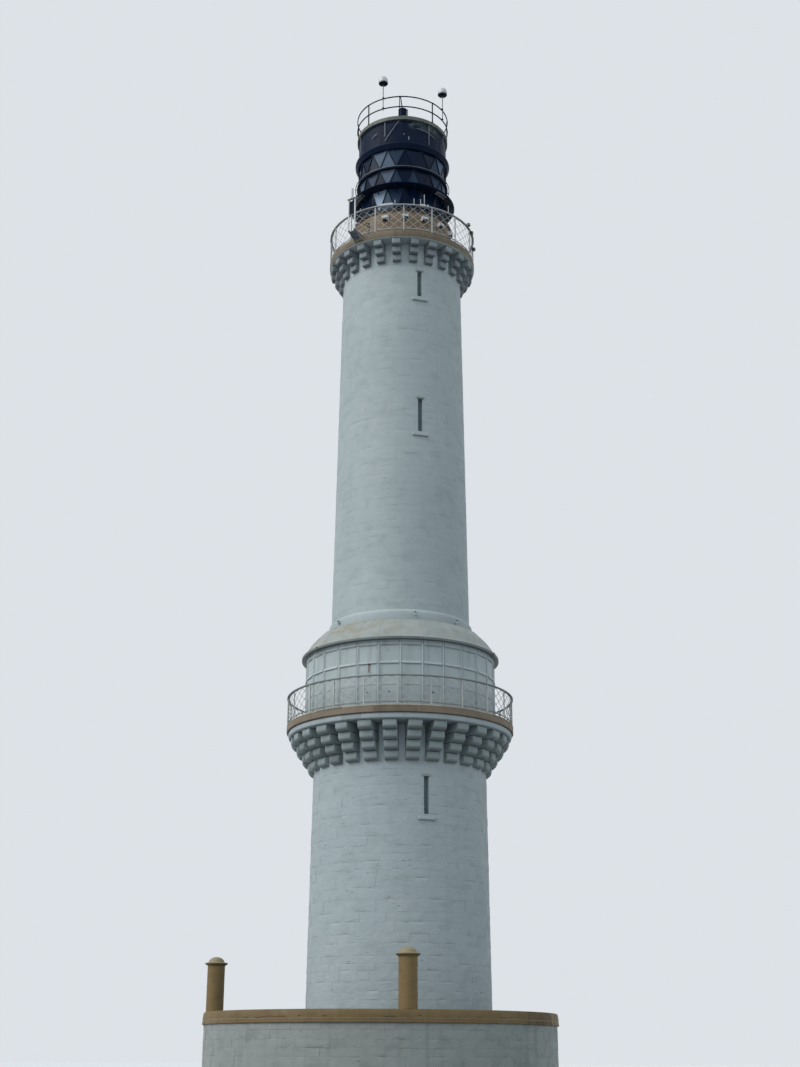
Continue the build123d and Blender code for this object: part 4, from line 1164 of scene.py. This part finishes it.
def frieze():
    """Cover plates, rivets, struts, cables and ring mark of the frieze."""
    rivets = Work()
    foot = frieze_low
    top = gutter_low
    middle = (foot + top) / 2
    skin = lantern_radius - 0.03
    for k in range(48):
        azimuth = 7.5 * k
        for z in (foot + 0.05, top - 0.05, middle):
            bolt(rivets, skin, azimuth, z, 0.011, 0.008, 6, rng.uniform(0.3, 0.8))
        if k % 4 == 0:
            block_at(rivets, skin + 0.004, azimuth, middle, 0.07, top - foot - 0.01, 0.010, 0.003)
    for z in (foot, top - 0.06):
        spun(rivets, band(skin - 0.01, skin + 0.02, z, z + 0.06, 0.006), 128)
    rivets.piece("frieze_plates", "black_metal", "frieze_black")
    struts = Work()
    reach = lantern_radius + 0.015
    uprights = ((-22.8, 0.66, 0.03, 0), (35.8, 0.91, 0.01, 0), (65.4, 0.39, 0.01, 0), (8.0, 0.88, 0.74, 1),
                (118.0, 0.70, 0.01, 0), (205.0, 0.70, 0.01, 0), (290.0, 0.70, 0.01, 0))
    for azimuth, drop, top_drop, paint in uprights:
        start = polar(reach, azimuth, top - drop)
        bar(struts, start, polar(reach, azimuth, top - top_drop), 0.028, 0.016, azimuth, 0.5, paint)
        bolt(struts, reach, azimuth, top - drop + 0.04, 0.014, 0.012, 6, 0.9)
    cables = ((-22.8, 0.86, -4.8, 0.05), (-42.1, 0.55, -34.4, 0.43), (18.1, 0.32, 32.7, 0.38),
              (32.7, 0.38, 46.0, 0.50))
    for a0, drop, a1, end_drop in cables:
        strip(struts, course_of(reach + 0.004, a0, top - drop, a1, top - end_drop, 6), 0.022, 0.012)
    bolt(struts, skin + 0.004, 1.9, top - 0.61, 0.022, 0.012, 8, 0.3, 1)
    angles = [math.pi * i / 8 for i in range(17)]
    ring = [around(45.0, skin + 0.015, 0.07 * math.cos(a), top - 0.3 + 0.07 * math.sin(a)) for a in angles]
    for start, end in zip(ring, ring[1:]):
        rod(struts, start, end, 0.006, 5, 0.4, 2)
    struts.piece("frieze_struts", "grey_metal", "bare_grey white_iron gutter_iron")


def ledge_rails():
    """Short runs of rail on the ledge over the lowest tier."""
    walk = Work()
    ledge = tier_levels[0][1]
    for start, end in ((43.0, 60.0), (-80.0, -52.0), (150.0, 182.0)):
        for radius, rise in ((1.83, -0.008), (1.895, 0.006), (1.96, 0.018)):
            strip(walk, course_of(radius, start, ledge + rise, end, ledge + rise, 8), 0.016, 0.034, 0.4)
    walk.piece("ledge_rails", "grey_metal", "white_iron")


def gutter():
    """The gutter's rolled rim, its dark lower edge and its brackets."""
    work = Work()
    z0 = gutter_low
    z1 = gutter_high
    rim = gutter_rim
    bore = 1.59
    outline = [(bore, z0), (rim - 0.03, z0), (rim - 0.008, z0 + 0.018), (rim - 0.004, z0 + 0.05),
               (rim - 0.004, z1 - 0.06), (rim, z1 - 0.045), (rim, z1 - 0.012), (rim - 0.01, z1),
               (rim - 0.038, z1), (rim - 0.045, z1 - 0.01), (rim - 0.045, z0 + 0.045), (bore, z0 + 0.045)]
    spun(work, outline, 128)
    spun(work, band(rim - 0.012, rim + 0.003, z0 - 0.006, z0 + 0.022, 0.004), 128, paint=1)
    for k in range(16):
        azimuth = lantern_azimuth + division * k
        block_at(work, rim - 0.001, azimuth, (z0 + z1) / 2, 0.05, z1 - z0 - 0.06, 0.012, 0.003, 0.7)
    work.piece("gutter_rim", "grey_metal", "gutter_iron black_iron", "lantern_gutter", angle=40.0)


def ventilator():
    """The ribbed ventilator on the roof and the stay that leans beside it."""
    vent = Work()
    z0 = low("roof_ventilator")
    z1 = high("roof_ventilator")
    flange = 0.172
    drum = 0.155
    outline = [(0.0, z0), (flange, z0), (flange, z0 + 0.03), (drum, z0 + 0.05), (drum, z1 - 0.08),
               (flange, z1 - 0.06), (flange, z1 - 0.015), (0.15, z1), (0.0, z1)]
    spun(vent, outline, 32, ring=False)
    for k in range(16):
        block_at(vent, drum + 0.002, division * k, (z0 + z1) / 2 - 0.02, 0.012, z1 - z0 - 0.15, 0.022, 0.003)
    vent.piece("ventilator_drum", "black_metal", "black_iron", "roof_ventilator")
    spots = sorted((v.co.copy() for v in nodes["leaning_rod"].data.vertices), key=lambda spot: spot.z)
    stay = Work()
    rod(stay, sum(spots[:6], Vector()) / 6, sum(spots[-6:], Vector()) / 6, 0.024, 12, tip=0.017)
    stay.piece("ventilator_stay", "black_metal", "black_iron", "leaning_rod")


rail_radius = lantern_radius + 0.067
rail_levels = [gutter_high + 0.403, gutter_high + 0.863]


def roof_aerials():
    """Two domed aerials on poles that are clamped to the roof rails."""
    aerials = Work()
    foot = high("roof_aerials") - 0.33
    rim = 0.182
    shoulder = foot + 0.115
    dome = [(0.0, foot + 0.012), (0.14, foot + 0.012), (0.155, foot), (0.172, foot), (rim, foot + 0.012),
            (rim, shoulder)]
    for a in [math.radians(9 * i) for i in range(1, 10)]:
        dome.append((rim * math.cos(a), shoulder + 0.215 * math.sin(a)))
    dome.append((0.0, shoulder + 0.215))
    # A black disc under each dome: painted shade on its underside
    base = [(0.0, foot - 0.03), (0.07, foot - 0.03), (0.085, foot - 0.012), (0.177, foot - 0.004),
            (0.179, foot + 0.004), (0.0, foot + 0.013)]
    joint = [(0.174, foot + 0.02), (0.1835, foot + 0.02), (0.1835, foot + 0.04), (0.174, foot + 0.04)]
    for azimuth in (-24.4, 58.8):
        centre = polar(rail_radius + 0.03, azimuth)
        spun(aerials, dome, 40, 0.5, 0, centre, False)
        spun(aerials, base, 32, 0.5, 1, centre, False)
        spun(aerials, joint, 40, 0.5, 1, centre)
        rod(aerials, centre + up * (gutter_high + 0.29), centre + up * (foot - 0.02), 0.017, 12, 0.6, 2)
        for z in rail_levels:
            block_at(aerials, rail_radius + 0.012, azimuth, z, 0.075, 0.07, 0.075, 0.008, 0.9, 1)
    aerials.piece("roof_aerial_domes", "white_plastic", "dome_white black_iron bare_grey", "roof_aerials")


def rail_clamps():
    """Feet and clamps of the roof rails' posts, and a short pipe."""
    posts = Work()
    for k in range(8):
        azimuth = 41.3 + 45.0 * k
        block_at(posts, 1.762, azimuth, gutter_high + 0.01, 0.09, 0.02, 0.05, 0.004, 0.8)
        for z in rail_levels:
            block_at(posts, rail_radius - 0.017, azimuth, z, 0.06, 0.046, 0.046, 0.006, 0.7)
    pipe = [polar(1.70, 6.3, gutter_high + rise) for rise in (-0.02, 0.34)]
    rod(posts, *pipe, 0.022, 10, 0.5, 1)
    posts.piece("roof_rail_clamps", "black_metal", "black_iron bare_grey")


# Upper gallery


def instrument_frame():
    """A caged instrument on two posts and a raking bracket, outside the upper railing."""
    work = Work()
    azimuth = -35.2
    out = polar(1.0, azimuth)
    radius = 3.24
    half = 0.1425
    deck = upper_deck_high
    seat = deck + 0.09
    top = seat + 1.25
    cage_low = seat + 0.62
    cage_high = top - 0.08
    cage = cage_high - cage_low
    for side in (-half, half):
        foot = around(azimuth, radius, side, seat - 0.06)
        rod(work, foot, foot + up * (top - seat + 0.06), 0.030, 8, 0.4, 4)
        for z in (seat + 0.25, cage_low, top - 0.04):
            block_at(work, radius, azimuth, z, 0.05, 0.035, 0.05, 0.003, 0.8, side=side)
    slope = (out * 0.25 + up).normalized()
    lean = out.cross(slope).cross(slope)
    box(work, polar(radius, azimuth, top + 0.018), slope, lean, 0.37, 0.15, 0.03)
    rod(work, polar(radius, azimuth, top + 0.03), polar(radius, azimuth, top + 0.455), 0.052, 14, 0.3, 4)
    rod(work, polar(radius, azimuth, top + 0.03), polar(radius, azimuth, top + 0.09), 0.062, 14, 0.5, 4)
    for k in range(9):
        block_at(work, radius, azimuth, cage_low + cage * k / 8, 0.25, 0.012, 0.012, 0.002, 0.4, 1)
    middle = (cage_low + cage_high) / 2
    for k in range(7):
        block_at(work, radius, azimuth, middle, 0.012, cage, 0.012, 0.003, 0.4, 1, (k / 6 - 0.5) * 0.24)
    block_at(work, radius - 0.012, azimuth, middle, 0.25, cage, 0.01, 0.002, 0.3, 2)
    for side in (-half, half):
        head = around(azimuth, radius + 0.02, side, seat - 0.03)
        for drop in (0.05, 0.24):
            bar(work, around(azimuth, upper_rim, side, deck - drop), head, 0.035, 0.05, azimuth, 0.6, 3)
    for share in (0.25, 0.6, 0.95):
        z = deck - 0.24 + 0.27 * share
        block_at(work, upper_rim + 0.44 * share, azimuth, z, 0.30, 0.03, 0.03, 0.004, 0.6, 3)
    sheet = polar(3.0, azimuth, deck - 0.06)
    box(work, sheet, up * 2.2 - out, out * 2.2 + up, 0.27, 0.44, 0.012, 0.003, 0.5, 3)
    coats = "white_iron black_iron glass_dark bare_grey vent_white"
    work.piece("instrument_mast_frame", "white_metal", coats, "instrument_frame")


def gallery_lamps():
    """Lamps and short uprights on the upper railing, and pale sleeves on its top rail that are painted
    highlights.
    """
    lamps = Work()
    rail = high("upper_railing_rails")
    for azimuth, z in ((64.5, rail + 0.05), (71.5, rail - 0.12), (79.0, rail - 0.62)):
        block_at(lamps, upper_rim + 0.025, azimuth, z, 0.13, 0.12, 0.13, 0.02)
        block_at(lamps, upper_rim + 0.085, azimuth, z + 0.01, 0.10, 0.08, 0.02, 0.01, 0.5, 1)
        rod(lamps, polar(2.77, azimuth, min(z, rail) - 0.12), polar(2.77, azimuth, z), 0.014)
    for azimuth, height in ((-5.7, 0.18), (9.2, 0.26), (14.4, 0.26), (17.4, 0.48), (39.0, 0.3), (-34.7, 0.1)):
        rod(lamps, polar(2.75, azimuth, rail - 0.02), polar(2.75, azimuth, rail + height), 0.015, 8, 0.4, 2)
    # Painted highlights: pale sleeves on the top rail where it catches the light
    outline = band(2.69, 2.812, rail - 0.045, rail + 0.035, 0.008)
    for start, end in ((-16.4, -7.0), (14.0, 18.2), (19.4, 20.6)):
        swept_stone(lamps, outline, start, end, 0.0, 0.004, 4, 0.3, 1)
    lamps.piece("gallery_lamps", "black_metal", "hood_black dome_white white_iron")


masonry()
galleries()
helical_railing("lower_railing", lower_rim, 22, -1.3, "rail_iron", 0.020)
helical_railing("upper_railing", upper_rim, 16, 1.2, "white_iron", 0.016)
coping()
chimneys()
plank_door()
slit_windows()
stage_plates()
stage_holes()
stage_roof()
murette_door()
murette_vents()
lantern_glazing()
lantern_bands()
frieze()
ledge_rails()
gutter()
ventilator()
roof_aerials()
rail_clamps()
instrument_frame()
gallery_lamps()

# Paints of the CAD pieces
quarters = "{0}_front {0}_right {0}_back {0}_left "
for coat, names in (
    ("base_white_dirt_and_shade", quarters.format("base_wall")),
    ("wall_white", quarters.format("lower_wall")),
    ("fine_white", quarters.format("upper_wall")),
    ("fine_white", "lower_cornice shaft_collar slit_window_sills slit_window_lintels"),
    ("corbel_white", "lower_corbels"),
    ("bracket_white", "upper_corbels"),
    ("buff_stone", "chimney_shafts chimney_caps"),
    ("coping_buff", "base_coping"),
    ("upper_buff", "upper_deck"),
    ("deck_buff", "lower_deck"),
    ("murette_buff", "murette murette_door"),
    ("kerb_stone", "lower_kerb"),
    ("roofing", "base_roof"),
    ("floor_stone", "ground_floors lantern_floor"),
    ("door_paint", "base_door base_door_frame"),
    ("rail_iron", "lower_railing_posts lower_railing_lattice"),
    ("rail_grey", "lower_railing_rails"),
    ("white_iron", "upper_railing_posts upper_railing_rails upper_railing_lattice"),
    ("white_iron", "murette_vents instrument_frame"),
    ("stage_white", "stage_panels"),
    ("post_white", "stage_mullions stage_transoms"),
    ("roof_white", "stage_roof"),
    ("black_iron", "lantern_astragals lantern_bands lantern_roof roof_ventilator leaning_rod roof_rails"),
    # The lantern sill is painted dark brown: painted shade under the lantern's ledge
    ("sill_brown", "lantern_sill"),
    ("frieze_black", "lantern_frieze"),
    ("gutter_iron", "lantern_gutter"),
    ("rail_blue", "lantern_handrail"),
    ("glass_dark", "lantern_panes"),
    ("slit_glass", "slit_window_panes"),
    ("dome_white", "roof_aerials"),
):
    for name in names.split():
        for slot in nodes[name].material_slots:
            slot.material = paints[coat]

# Camera, light and floor
scene = bpy.context.scene
lens = bpy.data.cameras.new("camera")
lens.sensor_width = 36.0
lens.lens = 50.61
lens.clip_end = 2000.0
camera = bpy.data.objects.new("camera", lens)
camera.location = (-0.03, -51.3, 1.6)
tilt = Euler((math.radians(90 + 19.2), 0.0, 0.0)).to_matrix()
roll = Matrix.Rotation(math.radians(0.25), 3, "Z")
camera.rotation_euler = (tilt @ roll).to_euler()
scene.collection.objects.link(camera)
scene.camera = camera
scene.view_settings.view_transform = "Standard"


def sun(name, azimuth, elevation, strength, softness, colour):
    light = bpy.data.lights.new(name, "SUN")
    light.energy = strength
    light.color = colour
    light.angle = math.radians(softness)
    lamp = bpy.data.objects.new(name, light)
    aim = polar(math.cos(math.radians(elevation)), azimuth, math.sin(math.radians(elevation)))
    lamp.rotation_euler = aim.to_track_quat("Z", "Y").to_euler()
    scene.collection.objects.link(lamp)


sun("key_light", -64.0, 40.0, 2.25, 50.0, (1.0, 0.985, 0.955))
sun("side_light", 60.0, 25.0, 0.35, 60.0, (0.90, 0.96, 1.0))
scene.world = bpy.data.worlds.new("world")
air = Tree(scene.world)
sky = air.node("ShaderNodeBackground", {}, {"Color": (0.84, 0.94, 1.0, 1.0), "Strength": 0.58})
pale = air.node("ShaderNodeBackground", {}, {"Color": (0.72, 0.76, 0.80, 1.0), "Strength": 1.0})
chosen = air.node("ShaderNodeMixShader", {}, {0: air.seen_straight(), 1: sky, 2: pale})
air.tree.links.new(chosen.socket, air.tree.nodes["World Output"].inputs["Surface"])

reach = 300
floor_mesh = bpy.data.meshes.new("floor")
floor_corners = [(-reach, -reach, 0), (reach, -reach, 0), (reach, reach, 0), (-reach, reach, 0)]
floor_mesh.from_pydata(floor_corners, [], [(0, 1, 2, 3)])
floor = bpy.data.objects.new("floor", floor_mesh)
scene.collection.objects.link(floor)
ground = Paint("floor_paint", 0.8)
ground.feed("Base Color", ground.blend(ground.seen_straight(), (0.24, 0.25, 0.26), (0.72, 0.74, 0.76)))
floor_mesh.materials.append(paints["floor_paint"])
